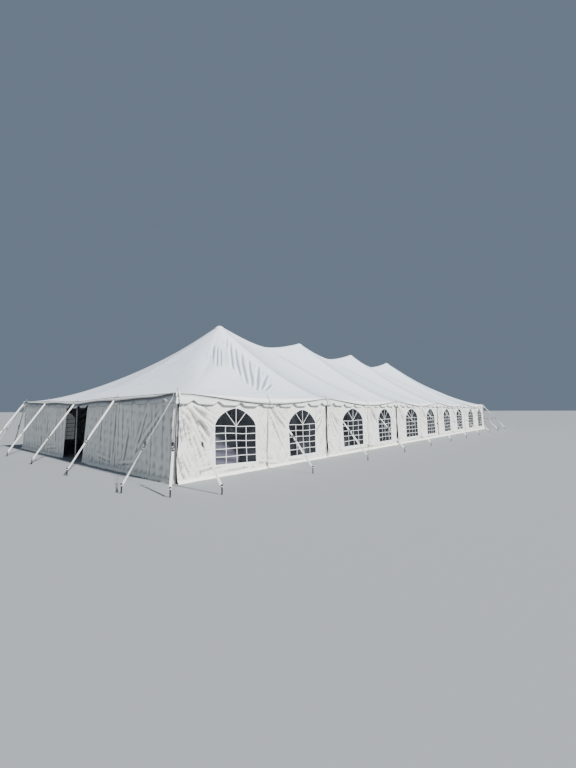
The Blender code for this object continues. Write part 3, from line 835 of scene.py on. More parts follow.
# %% Roof sections
ROOF_CELLS = (110, 88)
NEAR_ROOF_CELLS = (204, 112)
HEM_START = 0.100
HEM_OUT = 0.052
HEM_DOWN = 0.010
HEM_TURN = 0.035
ROW_CROWDING = 1.25
ROOF_FOLDS = (0.060, 0.009)


def past_rim(place, half, out):
    """Stretch the last stretch before a side's middle line outward, to end at half + out."""
    start = half - HEM_START
    share = np.clip((np.abs(place) - start) / HEM_START, 0, 1)
    moved = start + share * (HEM_START + out)
    return np.where(np.abs(place) > start, np.sign(place) * moved, place)


def hem_drop(x, y):
    """How far the rounded hem turns down at the rim."""
    over_x = np.clip((np.abs(x) - HALF_LENGTH - HEM_TURN) / (HEM_OUT - HEM_TURN), 0, 1)
    over_y = np.clip((np.abs(y) - HALF_WIDTH - HEM_TURN) / (HEM_OUT - HEM_TURN), 0, 1)
    return HEM_DOWN * np.maximum(over_x, over_y) ** 2


def crowded_rows(share):
    """Rows from one eave to the other, closer together at the eaves than at the ridge."""
    centred = share * 2 - 1
    return np.sign(centred) * (1 - (1 - np.abs(centred)) ** ROW_CROWDING)


def shared_out(share, lines):
    """Spread a grid's lines unevenly, with this share of them on the first half of the way."""
    return np.interp(share, (0.0, lines, 1.0), (0.0, 0.50, 1.0))


def make_roof_section(number):
    """One laced section of the roof."""
    low = -HALF_LENGTH + SECTION * (number - 1)
    columns, half_rows = NEAR_ROOF_CELLS if number == 1 else ROOF_CELLS
    piece, across, up = grid_piece(f"roof_section_{number}", columns, 2 * half_rows)
    if number == 1:
        across = shared_out(across, 0.38)
        up = shared_out(up, 0.62)
    x = past_rim(low + across * SECTION, HALF_LENGTH, HEM_OUT)
    y = past_rim(crowded_rows(up) * HALF_WIDTH, HALF_WIDTH, HEM_OUT)
    z = roof_height(x, y) + roof_relief(x, y) - hem_drop(x, y)
    move_points(piece, x, y, z)
    # Painted shade in the roof's folds and beside the lace lines, and painted highlight on its
    # ridges.
    mark_folds(piece, roof_relief, x, y, *ROOF_FOLDS, shade=slack_shade(x, y))
    owner = f"canopy_section_{number}"
    return finish_cloth(piece, CLOTH_THICKNESS, 50, canopy_paint, owner)


roof_sections = [make_roof_section(number) for number in range(1, SECTION_COUNT + 1)]
print("roof sections:", [triangles(piece) for piece in roof_sections], "triangles")
print("cloth in the first:", round(cloth_area(roof_sections[0]), 1), "m2")

# %% [markdown]
# ## Valance
# The strip that hangs from the eave isn't flat. Its upper part bellies out in a long crescent
# between the high poles, and under the crescent's lip the rest hangs straight and ends in
# scallops with notches between them. Modelled as a grid with its own fine columns, it can have
# both the fold and the notches in its points, so that the lip throws a real shadow. Its colour
# adds painted shade at the rim, on the crescent's turned-under part, under the lip and along
# the scalloped edge, and painted light on the crescent's upper part.

# %% Places on the tent's four sides


def on_side(side, along, out):
    """Floor place of a point: along from a side's left end, as seen from outside, and out."""
    if side == "front":
        return along - HALF_LENGTH, -HALF_WIDTH - out
    if side == "right":
        return HALF_LENGTH + out, along - HALF_WIDTH
    if side == "back":
        return HALF_LENGTH - along, HALF_WIDTH + out
    return -HALF_LENGTH - out, HALF_WIDTH - along


def side_length(side):
    """Length of a side between its corner poles."""
    return 2 * HALF_LENGTH if side in ("front", "back") else 2 * HALF_WIDTH


def rumple(along, up, seed, wavelength, count=7):
    """Soft uneven waves, from a few crossing sines with seeded directions and phases."""
    dice = np.random.default_rng(seed)
    total = np.zeros_like(along)
    for _ in range(count):
        turn = dice.uniform(0, math.pi)
        phase = dice.uniform(0, 2 * math.pi)
        length = wavelength * dice.uniform(0.7, 1.5)
        onward = along * math.cos(turn) + up * math.sin(turn)
        total += np.sin(2 * math.pi * onward / length + phase)
    return total / math.sqrt(count)


corner = on_side("left", side_length("left"), 0)
print("the left side ends at", [round(value, 3) for value in corner])

# %% The valance's crescent and edge
SCALLOP = BAY / 4
NOTCH_DEPTH = 0.100
NOTCH_HALF_WIDTH = 0.165
VALANCE_COLUMN = SCALLOP / 22
CRESCENT_ROWS = 9
SKIRT_ROWS = 8
LONG_SWOOP = 0.176
SHORT_SWOOP = 0.100
END_SWOOP = 0.020
LONG_LIP = 0.066
SHORT_LIP = 0.062
SKIRT_FLARE = 0.062
SKIRT_OUT = 0.044
BELLY_OUT = 0.046
TURN_UNDER = 0.72
TUCK_BACK = 0.42
LONG_ROLL = 1.25
SHORT_ROLL = 1.10
CORNER_MITRE = 0.16
GAP_REACH = 0.22
# Painted shade of the valance, for long and short sides: the rim line's strength and width, and
# the drop below the lip over which the shade under it fades.
RIM_SHADE = {"long": (1.0, 0.012, 0.0, 0.075), "short": (1.8, 0.032, 0.015, 0.10)}


def swoop(side, along):
    """How deep the crescent reaches below the rim."""
    if side in ("front", "back"):
        share = (along % SECTION) / SECTION
        return np.maximum(END_SWOOP, LONG_SWOOP * np.sin(math.pi * share**1.15))
    share = np.clip(along / side_length(side), 0, 1)
    ends = smooth_step(np.minimum(share, 1 - share), 0.0, 0.10)
    deepest_at_poles = 0.016 * np.cos(2 * math.pi * along / BAY)
    return END_SWOOP + (SHORT_SWOOP - END_SWOOP + deepest_at_poles) * ends


def skirt_drop(along, deepest):
    """How far the scalloped edge hangs below the rim."""
    away = np.abs(along - SCALLOP * (np.floor(along / SCALLOP) + 0.5))
    notch = NOTCH_DEPTH * np.clip(1 - away / NOTCH_HALF_WIDTH, 0, 1)
    uneven = 0.007 * rumple(along, along * 0, 11, 2.4)
    return np.maximum(VALANCE_DROP - notch + uneven, deepest + 0.012)


print("the crescent is", swoop("front", np.array([SECTION / 2])).round(3), "m deep halfway")

# %% Valance strips


def valance_strip(side, number, start, end, owner):
    """One strip of valance, from start to end along its side."""
    columns = round((end - start) / VALANCE_COLUMN)
    rows = CRESCENT_ROWS + 1 + SKIRT_ROWS
    piece, across, up = grid_piece(f"{side}_valance_{number}", columns, rows)
    along = start + across * (end - start)
    row = np.round((1 - up) * rows)
    length = side_length(side)
    rim = EAVE_HEIGHT - rim_dip(along, length)
    deep = swoop(side, along)
    edge = skirt_drop(along, deep)
    share = np.clip(row / CRESCENT_ROWS, 0, 1)
    lower = np.clip((row - CRESCENT_ROWS - 1) / SKIRT_ROWS, 0, 1)
    in_skirt = row > CRESCENT_ROWS
    long_side = side in ("front", "back")
    largest, deepest = (LONG_LIP, LONG_SWOOP) if long_side else (SHORT_LIP, SHORT_SWOOP)
    lip = largest * (deep / deepest) ** 0.6
    from_pole = np.abs((along + BAY / 2) % BAY - BAY / 2)
    lip = lip * (1 - 0.35 * np.exp(-((from_pole / 0.07) ** 2)))
    skirt_place = deep + 0.001 + (edge - deep) * lower
    drop = np.where(in_skirt, skirt_place, 0.006 + (deep - 0.006) * share)
    under = np.clip((share - TURN_UNDER) / (1 - TURN_UNDER), 0, 1)
    roll = LONG_ROLL if long_side else SHORT_ROLL
    rolled = np.sin(np.clip(share / TURN_UNDER, 0, 1) * math.pi / 2) ** roll
    belly = BELLY_OUT + lip * (rolled - TUCK_BACK * under**1.5)
    waves = 0.007 * np.sin(2 * math.pi * along / SCALLOP + 0.6)
    waves = waves + 0.004 * rumple(along, drop * 3, 23, 0.55)
    skirt = SKIRT_OUT + SKIRT_FLARE * lower**1.2 + waves * lower
    out = np.where(in_skirt, skirt, belly + 0.002 * rumple(along, drop, 29, 0.5) * share)
    x, y, z = hang_strip(side, along, out, rim - drop, lower, (start, end))
    move_points(piece, x, y, z)
    # The fold attribute paints shade: a dark line at the rim, the crescent's turned-under part,
    # the skirt under the lip and a little all over, and the scalloped edge. The crescent's upper
    # part gets painted light.
    rim_line, rim_width, *below = RIM_SHADE["long" if long_side else "short"]
    below_lip = 1 - smooth_step(drop - deep, *below)
    at_rim = rim_line * (drop < rim_width)
    shaded = np.where(in_skirt, 0.14 + 0.82 * below_lip, 1.8 * under - 0.8 + at_rim)
    write_attribute(piece, "fold", np.clip(shaded + 0.6 * (lower > 0.93), -1, 1))
    return finish_cloth(piece, 0.002, 45, valance_paint, owner)


def hang_strip(side, along, out, height, lower, ends):
    """Place a strip: mitred at the tent's corners, and opening a little at the lace lines."""
    length = side_length(side)
    start, end = ends
    placed = along.copy()
    near_start = 1 - smooth_step(along, 0.0, CORNER_MITRE)
    near_end = smooth_step(along, length - CORNER_MITRE, length)
    placed -= out * near_start if start == 0 else 0
    placed += out * near_end if end >= length - 0.001 else 0
    if start > 0:
        at_gap = 1 - smooth_step(along, start, start + GAP_REACH)
        placed += (0.002 + 0.045 * lower**1.5) * at_gap
    if end < length - 0.001:
        placed -= (0.002 + 0.012 * lower) * smooth_step(along, end - GAP_REACH, end)
    x, y = on_side(side, placed, out)
    return x, y, height


valances = []
for number in range(1, SECTION_COUNT + 1):
    ends = (SECTION * (number - 1), SECTION * number)
    opposite = SECTION_COUNT + 1 - number
    valances.append(valance_strip("front", number, *ends, f"canopy_section_{number}"))
    valances.append(valance_strip("back", number, *ends, f"canopy_section_{opposite}"))
valances.append(valance_strip("left", 1, 0.0, side_length("left"), "canopy_section_1"))
valances.append(valance_strip("right", 1, 0.0, side_length("right"), "canopy_section_5"))
strip_triangles = sum(triangles(piece) for piece in valances)
print("valance strips:", len(valances), "with", strip_triangles, "triangles")

# %% [markdown]
# ## Lacing flaps and patches
# Where two sections meet, rope loops lace them together, and a flap covers the loops and shows
# as a soft line from the eave to the peak. At every side pole the cloth has a second layer, a
# patch with the grommet that the pole's pin goes through. Both lie on the roof, so they are
# small grids moved to the roof's own height, a few millimetres above it.

# %% Flaps over the lace lines
FLAP_HALF_WIDTH = 0.105
FLAP_RISE = 0.009
FLAP_ABOVE = 0.0045
FLAP_EDGE = 0.45


def on_roof(piece, x, y, above):
    """Lay a grid on the roof, a height above it."""
    z = roof_height(x, y) + roof_relief(x, y) - hem_drop(x, y) + above
    move_points(piece, x, y, z)


def lacing_flap(number, station):
    """The flap over one lace line, a little raised over the loops."""
    piece, across, up = grid_piece(f"lacing_flap_{number}", 8, 260)
    y = past_rim(crowded_rows(up) * HALF_WIDTH, HALF_WIDTH, HEM_OUT - 0.006)
    from_line = across * 2 - 1
    uneven = 0.008 * rumple(y, across, 40 + number, 1.3)
    x = station + from_line * FLAP_HALF_WIDTH + uneven * np.abs(from_line)
    raised = FLAP_RISE * (1 - from_line**2) + 0.0025 * rumple(y, across * 0.2, 50 + number, 0.45)
    on_roof(piece, x, y, FLAP_ABOVE + np.maximum(raised, 0))
    # Painted shadow along the flap's raised edge, and a little painted light on the rest.
    write_attribute(piece, "fold", 1.20 * (from_line > FLAP_EDGE) - 0.25)
    owner = f"canopy_section_{number}"
    return finish_cloth(piece, 0.003, 50, canopy_paint, owner)


flaps = [lacing_flap(number, station) for number, station in enumerate(lace_lines, start=1)]
print("lacing flaps:", len(flaps))

# %% Patches round the pins
PATCH_HALF = 0.15
PATCH_REACH = 0.30
PATCH_PAST_CORNER = 0.04
PATCH_ABOVE = 0.0032


def pole_steps(side):
    """Which poles a side's row has: the long sides have the corners too."""
    return range(LONG_BAYS + 1) if side in ("front", "back") else range(1, SHORT_BAYS)


def side_places():
    """Every side pole's place: its side and its distance along it."""
    sides = ("front", "back", "left", "right")
    return [(side, BAY * step) for side in sides for step in pole_steps(side)]


def eave_patch(number, side, along):
    """A second layer of cloth at one side pole, with a rounded inner end."""
    piece, across, up = grid_piece(f"eave_patch_{number}", 10, 12)
    from_middle = across * 2 - 1
    inward = up * PATCH_REACH * np.sqrt(np.maximum(0.05, 1 - 0.75 * np.abs(from_middle) ** 2.5))
    length = side_length(side)
    placed = along + from_middle * PATCH_HALF
    placed = np.clip(placed, -PATCH_PAST_CORNER, length + PATCH_PAST_CORNER)
    x, y = on_side(side, placed, HEM_OUT - 0.008 - inward)
    grommet = 0.0012 * np.maximum(0, 1 - np.abs(from_middle)) * (1 - up)
    on_roof(piece, x, y, PATCH_ABOVE + grommet)
    return finish_cloth(piece, 0.0025, 50, canopy_paint)


patches = [eave_patch(number, *place) for number, place in enumerate(side_places(), start=1)]
print("eave patches:", len(patches))

# %% [markdown]
# ## Turned fittings
# Poles, pins, caps and stakes are round. Each starts as a filled circle, which is extruded and
# resized step by step, the way such a part is modelled by hand. A list of rings, each a radius
# and a height, says where each step ends.

# %% Helpers for turned pieces


def place_in_mesh(piece):
    """Put an object's own place, turn and scale into its mesh."""
    select_only(piece)
    bpy.ops.object.transform_apply(location=True, rotation=True, scale=True)


def turned_piece(name, rings, sides=16, centre=(0.0, 0.0)):
    """A round piece from a list of rings, each a radius and a height, from the bottom up."""
    deselect_all()
    radius, height = rings[0]
    bpy.ops.mesh.primitive_circle_add(
        vertices=sides,
        radius=radius,
        fill_type="NGON",
        location=(*centre, height),
    )
    piece = bpy.context.object
    piece.name = name
    piece.data.name = name
    bpy.ops.object.mode_set(mode="EDIT")
    for next_radius, next_height in rings[1:]:
        lift = {"value": (0, 0, next_height - height)}
        bpy.ops.mesh.extrude_region_move(TRANSFORM_OT_translate=lift)
        share = next_radius / radius
        bpy.ops.transform.resize(value=(share, share, 1), center_override=(*centre, next_height))
        radius, height = next_radius, next_height
    bpy.ops.mesh.select_all(action="SELECT")
    bpy.ops.mesh.normals_make_consistent(inside=False)
    bpy.ops.object.mode_set(mode="OBJECT")
    place_in_mesh(piece)
    return piece


def join_pieces(name, pieces):
    """Join several pieces into one."""
    deselect_all()
    for piece in pieces:
        piece.select_set(True)
    bpy.context.view_layer.objects.active = pieces[0]
    if len(pieces) > 1:
        bpy.ops.object.join()
    pieces[0].name = name
    pieces[0].data.name = name
    return pieces[0]


def copy_of(piece, name, matrix):
    """A copy of a piece with its own mesh, moved by a matrix."""
    mesh = piece.data.copy()
    mesh.name = name
    mesh.transform(matrix)
    copied = bpy.data.objects.new(name, mesh)
    bpy.context.scene.collection.objects.link(copied)
    return copied


def discard(*pieces):
    """Remove pieces that were only patterns for copies."""
    for piece in pieces:
        bpy.data.objects.remove(piece, do_unlink=True)


print("helpers for turned pieces ready")

# %% [markdown]
# ## Peak caps
# Each peak ends in a small bright cap: a dome of doubled vinyl over the centre pole's pin, which
# keeps the rain out. It is turned from rings, with a flange that lies on the cloth and one
# stitched step.

# %% Peak caps
CAP_FOOT = PEAK_HEIGHT - 0.105
CAP_RINGS = (
    (0.236, -0.024),
    (0.240, -0.014),
    (0.232, -0.004),
    (0.196, 0.030),
    (0.190, 0.040),
    (0.164, 0.064),
    (0.132, 0.088),
    (0.098, 0.107),
    (0.062, 0.119),
    (0.030, 0.124),
    (0.010, 0.125),
)


def peak_cap(number, station):
    """The cap over one centre pole."""
    rings = [(radius, CAP_FOOT + up) for radius, up in CAP_RINGS]
    piece = turned_piece(f"peak_cap_{number}", rings, 40, (station, 0.0))
    smooth(piece, 60)
    dress(piece, trim_paint)
    return piece


caps = [peak_cap(number, station) for number, station in enumerate(lace_lines, start=1)]
print("peak caps:", len(caps), "with", triangles(caps[0]), "triangles each")

# %% [markdown]
# ## Poles
# The side poles are steel tubes with a foot plate, and a pin at the top goes through the
# grommet. The CAD poles have twelve sides, which shows where the light runs along them, so
# rounder ones with a rolled joint, a collar and a foot take their place, row by row. The centre
# poles get the same care, because the doorway lets you look at them.

# %% Side poles
POLE_RADIUS = 0.024
POLE_SIDES = 18
PIN_RADIUS = 0.0065
PIN_ABOVE = 0.115
UNDER_CLOTH = 0.0045
TIE_BELOW_EAVE = 0.030
TIE_HEIGHT = 0.045


def side_pole(name, x, y):
    """One side pole with its foot, collar and pin."""
    rim = roof_at(x, y)
    top = rim - UNDER_CLOTH
    rings = [
        (0.050, 0.0),
        (0.052, 0.003),
        (0.050, 0.006),
        (POLE_RADIUS + 0.004, 0.009),
        (POLE_RADIUS + 0.004, 0.060),
        (POLE_RADIUS, 0.064),
        (POLE_RADIUS, 1.060),
        (POLE_RADIUS + 0.0015, 1.064),
        (POLE_RADIUS + 0.0015, 1.072),
        (POLE_RADIUS, 1.076),
        (POLE_RADIUS, top - 0.003),
        (POLE_RADIUS - 0.003, top),
        (PIN_RADIUS, top + 0.0005),
        (PIN_RADIUS, rim + PIN_ABOVE - 0.004),
        (PIN_RADIUS * 0.55, rim + PIN_ABOVE),
    ]
    return turned_piece(name, rings, POLE_SIDES, (x, y))


def side_webbing(side):
    """The flat webbing that ties a row's poles together, just under the eave."""
    length = side_length(side)
    piece, across, up = grid_piece(f"{side}_tie", 160, 3)
    along = 0.03 + across * (length - 0.06)
    x, y = on_side(side, along, np.zeros_like(along))
    sag = 0.004 * np.abs(np.sin(math.pi * along / BAY))
    z = EAVE_HEIGHT - EAVE_DIP - TIE_BELOW_EAVE - TIE_HEIGHT * (1 - up) - sag
    move_points(piece, x, y, z)
    thicken(piece, 0.003, 0.0)
    return piece


pole_rows = []
for side in ("front", "back", "left", "right"):
    poles = [side_pole("pole", *on_side(side, BAY * step, 0.0)) for step in pole_steps(side)]
    row = join_pieces(f"{side}_poles_dressed", poles)
    smooth(row, 35)
    dress(row, pole_paint)
    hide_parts(f"{side}_side_poles")
    tie = side_webbing(side)
    dress(tie, webbing_paint)
    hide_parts(f"{side}_side_poles")
    pole_rows.append(row)
print("pole rows:", [triangles(row) for row in pole_rows], "triangles")

# %% Centre poles
CENTRE_RADIUS = 0.051
CENTRE_SIDES = 28


def centre_pole(number, station):
    """One centre pole with its round foot plate, a joint and its pin."""
    top = PEAK_HEIGHT - UNDER_CLOTH
    rings = [
        (0.150, 0.0),
        (0.150, 0.008),
        (0.146, 0.010),
        (CENTRE_RADIUS + 0.012, 0.012),
        (CENTRE_RADIUS + 0.012, 0.120),
        (CENTRE_RADIUS, 0.128),
        (CENTRE_RADIUS, 2.780),
        (CENTRE_RADIUS + 0.004, 2.786),
        (CENTRE_RADIUS + 0.004, 2.960),
        (CENTRE_RADIUS, 2.966),
        (CENTRE_RADIUS, top - 0.060),
        (CENTRE_RADIUS - 0.002, top),
        (0.0095, top + 0.001),
        (0.0095, PEAK_HEIGHT + 0.012),
        (0.0050, PEAK_HEIGHT + 0.015),
    ]
    name = f"centre_pole_dressed_{number}"
    piece = turned_piece(name, rings, CENTRE_SIDES, (station, 0.0))
    smooth(piece, 35)
    dress(piece, pole_paint)
    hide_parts(f"centre_pole_{number}")
    return piece


for number, station in enumerate(lace_lines, start=1):
    centre_pole(number, station)
print("centre poles:", len(lace_lines))

# %% [markdown]
# ## Long sidewalls
# Each wall panel is two bays wide and hangs outside the poles. It isn't a flat board: it
# bellies a little between the poles, has soft folds where it was hung too loosely, long creases
# that pull from its top corner, and a foot that crumples on the ground. All of it is one
# function of the place on the panel, so that the cloth, the window bars and the clear sheets
# behind can use the same shape and stay together.

# %% Sizes of a long wall
WALL_TOP = 1.98
WALL_FACE = 0.0292
WALL_THICKNESS = 0.0025
PANEL_END = 0.022
PAST_CORNER = 0.016
WALL_CELLS = (156, 52)
WINDOW_CENTRES = (1.83, 4.74)
WINDOW_HALF = 0.705
WINDOW_SILL = 0.265
WINDOW_SPRING = 1.25
WINDOW_RISE = 0.48
ARCH_POWER = 1.62
WALL_LEAN = 0.062
BELLY = 0.008
SWAY = 0.008
SOFT_WAVES = 0.009
CRUMPLE = 0.0060
FINE_CRUMPLE = 0.0018
HEM_REACH = 0.046
HEM_HEIGHT = 0.085
SLACK_FOOT = 0.34
WALL_FOLDS = (0.055, 0.008)
USUAL_CREASES = (
    ((3.24, 1.88), (3.76, 1.28), 0.060, 0.042),
    ((3.48, 1.60), (4.02, 1.18), 0.056, 0.036),
    ((3.14, 1.74), (3.78, 0.66), 0.050, 0.022),
    ((3.96, 1.82), (4.12, 1.54), 0.044, 0.024),
    ((5.22, 1.14), (5.76, 1.56), 0.052, 0.044),
    ((5.30, 1.02), (5.84, 1.46), 0.050, 0.044),
    ((5.36, 0.96), (5.76, 1.28), 0.044, 0.032),
    ((0.22, 1.84), (1.05, 1.10), 0.058, 0.042),
    ((0.10, 1.72), (0.58, 1.36), 0.050, 0.030),
    ((0.10, 0.40), (0.32, 0.00), 0.050, 0.030),
    ((2.60, 0.30), (3.60, 0.14), 0.042, 0.020),
    ((3.90, 0.24), (5.00, 0.10), 0.042, 0.024),
    ((0.90, 0.13), (2.30, 0.21), 0.040, 0.020),
)
CORNER_CREASES = (
    ((0.04, 1.62), (0.46, 1.02), 0.036, 0.056),
    ((0.44, 1.86), (1.02, 1.50), 0.040, 0.044),
    ((0.40, 1.70), (1.04, 1.03), 0.046, 0.046),
    ((0.30, 1.80), (0.94, 0.84), 0.040, 0.034),
    ((0.00, 1.56), (0.12, 0.94), 0.030, 0.054),
    ((0.12, 1.50), (0.27, 0.96), 0.030, 0.048),
    ((0.24, 1.30), (0.44, 0.80), 0.030, 0.032),
    ((0.01, 0.70), (0.17, 0.30), 0.030, 0.050),
    ((0.14, 0.62), (0.34, 0.24), 0.030, 0.032),
    ((0.55, 0.24), (1.25, 0.28), 0.034, 0.026),
)
print("creases:", len(USUAL_CREASES), "on each panel,", len(CORNER_CREASES), "more by the corner")

# %% Creases of a wall
PULL_SIZE = 0.020
TIED_ABOVE = 0.05


def crease(along, up, start, end, width, size):
    """A fold along a line: a ridge with a shallow valley beside it, fading at both ends."""
    run = np.array([end[0] - start[0], end[1] - start[1]])
    length = float(np.hypot(*run))
    share = ((along - start[0]) * run[0] + (up - start[1]) * run[1]) / length**2
    across = ((along - start[0]) * run[1] - (up - start[1]) * run[0]) / length / width
    fade = np.clip(np.sin(math.pi * np.clip(share, 0, 1)), 0, 1) ** 0.7
    return size * (np.exp(-(across**2)) - 0.5 * np.exp(-((across - 1.8) ** 2))) * fade


def corner_pull(along, up, corner_along, reach, count, seed, fan_low, fan_high):
    """Creases that fan down from a panel's top corner, where its cloth is tied up."""
    dice = np.random.default_rng(seed)
    total = np.zeros_like(along)
    way = 1 if corner_along < SECTION / 2 else -1

    def out_to(distance, angle):
        aside, down = way * distance * math.cos(angle), distance * math.sin(angle)
        return corner_along + aside, WALL_TOP + TIED_ABOVE - down

    for step in range(count):
        share = (step + dice.uniform(0.2, 0.8)) / count
        angle = math.radians(fan_low + (fan_high - fan_low) * share)
        length = reach * dice.uniform(0.65, 1.1)
        first = 0.10 + 0.12 * dice.uniform(0, 1)
        start, end = out_to(first, angle), out_to(length, angle)
        width = dice.uniform(0.028, 0.048)
        total += crease(along, up, start, end, width, PULL_SIZE * dice.uniform(0.6, 1.2))
    return total


sample_x, sample_z = np.meshgrid(np.linspace(0, SECTION, 400), np.linspace(0, WALL_TOP, 200))
pulled = corner_pull(sample_x, sample_z, 0.0, 1.5, 6, 104, 25, 82)
print("a tied corner pulls folds of", round(float(pulled.max()) * 1000), "mm")

# %% Relief of a long wall


def near_windows(along, up, margin):
    """1 well away from the windows and 0 on them: the stiff clear sheets hold the cloth flat."""
    clear = np.ones_like(along)
    for centre in WINDOW_CENTRES:
        side = np.abs(along - centre) - WINDOW_HALF
        over = up - WINDOW_SPRING - WINDOW_RISE
        under = WINDOW_SILL - up
        away = np.maximum(np.maximum(side, over), under)
        clear = np.minimum(clear, smooth_step(away, 0.0, margin))
    return clear


def wall_relief(along, up, seed, near=False):
    """How far a long panel stands out from its flat place, over its places along and up."""
    dice = np.random.default_rng(seed)
    bay_share = (along % BAY) / BAY
    up_share = np.clip(up / WALL_TOP, 0, 1)
    belly = BELLY * np.sin(math.pi * bay_share) * np.sin(math.pi * up_share) ** 0.6
    sway = SWAY * np.sin(2 * math.pi * along / dice.uniform(1.6, 2.3) + dice.uniform(0, 6))
    soft = SOFT_WAVES * rumple(along * 1.6, up * 0.6, seed + 1, 0.9)
    free = 0.30 + 0.70 * near_windows(along, up, 0.12)
    crumple = CRUMPLE * rumple(along, up, seed + 2, 0.30) * near_windows(along, up, 0.15)
    fine = FINE_CRUMPLE * rumple(along, up, seed + 3, 0.13, 9) * near_windows(along, up, 0.10)
    pull = corner_pull(along, up, 0.0, 1.5, 6, seed + 4, 25, 82)
    pull += corner_pull(along, up, SECTION, 1.3, 5, seed + 5, 28, 80)
    for start, end, width, size in USUAL_CREASES + (CORNER_CREASES if near else ()):
        pull += crease(along, up, start, end, width, size)
    if near:
        pull += corner_pull(along, up, 0.0, 1.9, 9, 77, 22, 72)
    total = 0.004 + belly + sway * 0.6 + soft + (pull + crumple + fine) * free
    hung = smooth_step(WALL_TOP - up, 0.0, 0.25)
    lean = WALL_LEAN * (1 - up / WALL_TOP) ** 2
    return np.maximum(total * (0.25 + 0.75 * hung) + lean, 0.0) + foot_flare(along, up, seed)


def hem_on_ground(up):
    """How far out the hem goes, since its last centimetres lie on the ground."""
    return HEM_REACH * np.clip(1 - up / HEM_HEIGHT, 0, 1) ** 1.3


def folds_shown(up):
    """How much of the painted fold shade a wall shows: none on the hem at its foot, which gets
    painted light instead.
    """
    return smooth_step(up, 0.02, 0.13)


def foot_flare(along, up, seed):
    """The slack at the foot, pushed outward and crumpled where it meets the ground."""
    low = np.clip(1 - up / SLACK_FOOT, 0, 1)
    waves = rumple(along, up * 0.4, seed + 6, 0.36)
    small = rumple(along, up * 0.8, seed + 7, 0.13)
    wander = 2.2 * rumple(along, along * 0, seed + 8, 1.1)
    ruck = 0.5 + 0.5 * np.sin(2 * math.pi * up / 0.115 + wander)
    crumpled = low**1.5 * (0.012 + 0.010 * waves + 0.006 * small)
    return crumpled + 0.005 * ruck * low + hem_on_ground(up)


sample = wall_relief(sample_x, sample_z, 100, True) * 1000
least, most = round(float(sample.min())), round(float(sample.max()))
print("the near panel stands out", least, "to", most, "mm")

# %% [markdown]
# ## Cutting the arched windows
# The openings are cut from the grid of the cloth itself. Points just inside an arch are moved
# onto its outline, and the faces within are deleted, which leaves a clean edge and no Boolean
# artefacts in a sheet that is only three millimetres thick.

# %% Cut the openings


def pick_in_code(piece, kind):
    """Leave a piece with nothing selected, ready for code to pick points, edges or faces."""
    select_only(piece)
    bpy.ops.object.mode_set(mode="EDIT")
    bpy.ops.mesh.select_mode(type=kind)
    bpy.ops.mesh.select_all(action="DESELECT")
    bpy.ops.object.mode_set(mode="OBJECT")


def inside_window(along, up, centre):
    """Below 1 inside an arched window's outline, 1 on it and more outside."""
    side = np.abs(along - centre) / WINDOW_HALF
    lift = np.maximum(0, up - WINDOW_SPRING) / WINDOW_RISE
    over = (side**ARCH_POWER + lift**ARCH_POWER) ** (1 / ARCH_POWER)
    half_high = (WINDOW_SPRING - WINDOW_SILL) / 2
    under = 1 + (WINDOW_SILL - up) / half_high
    return np.where(up > WINDOW_SPRING, over, np.maximum(side, under))


def onto_outline(along, up, centre):
    """Move a point to the nearest place of the window's outline."""
    if up > WINDOW_SPRING:
        size = max(float(inside_window(along, up, centre)), 1e-6)
        return centre + (along - centre) / size, WINDOW_SPRING + (up - WINDOW_SPRING) / size
    to_side = WINDOW_HALF - abs(along - centre)
    to_sill = up - WINDOW_SILL
    if to_side < to_sill:
        return centre + math.copysign(WINDOW_HALF, along - centre), up
    return along, WINDOW_SILL


def pick_windows(piece, along, up):
    """Move the points round both arches onto them, and select the faces within."""
    mesh = piece.data
    corners = np.empty(len(mesh.polygons) * 4, np.int64)
    mesh.polygons.foreach_get("vertices", corners)
    corners = corners.reshape(-1, 4)
    doomed = np.zeros(len(corners), bool)
    for centre in WINDOW_CENTRES:
        inside = inside_window(along, up, centre) < 1
        whole = inside[corners].all(axis=1)
        mixed = inside[corners].any(axis=1) & ~whole
        for index in np.unique(corners[mixed][inside[corners[mixed]]]):
            along[index], up[index] = onto_outline(along[index], up[index], centre)
        doomed |= whole
    pick_in_code(piece, "FACE")
    mesh.polygons.foreach_set("select", doomed)


def delete_selected_faces(piece):
    """Delete a piece's selected faces, with the points that only they had."""
    bpy.context.view_layer.objects.active = piece
    bpy.ops.object.mode_set(mode="EDIT")
    bpy.ops.mesh.delete(type="FACE")
    bpy.ops.object.mode_set(mode="OBJECT")


print("window cutting ready")

# %% Long wall panels


def panel_seed(side, number):
    """A seed of its own for every panel."""
    return {"front": 100, "back": 500}[side] + 20 * number


def first_of_side(side, number):
    """Whether a panel is the one at the near corner, with its deep folds."""
    return side == "front" and number == 1


def panel_relief(side, number, along, up):
    """The relief of one panel, with its own seed."""
    near = first_of_side(side, number)
    return wall_relief(along, up, panel_seed(side, number), near)


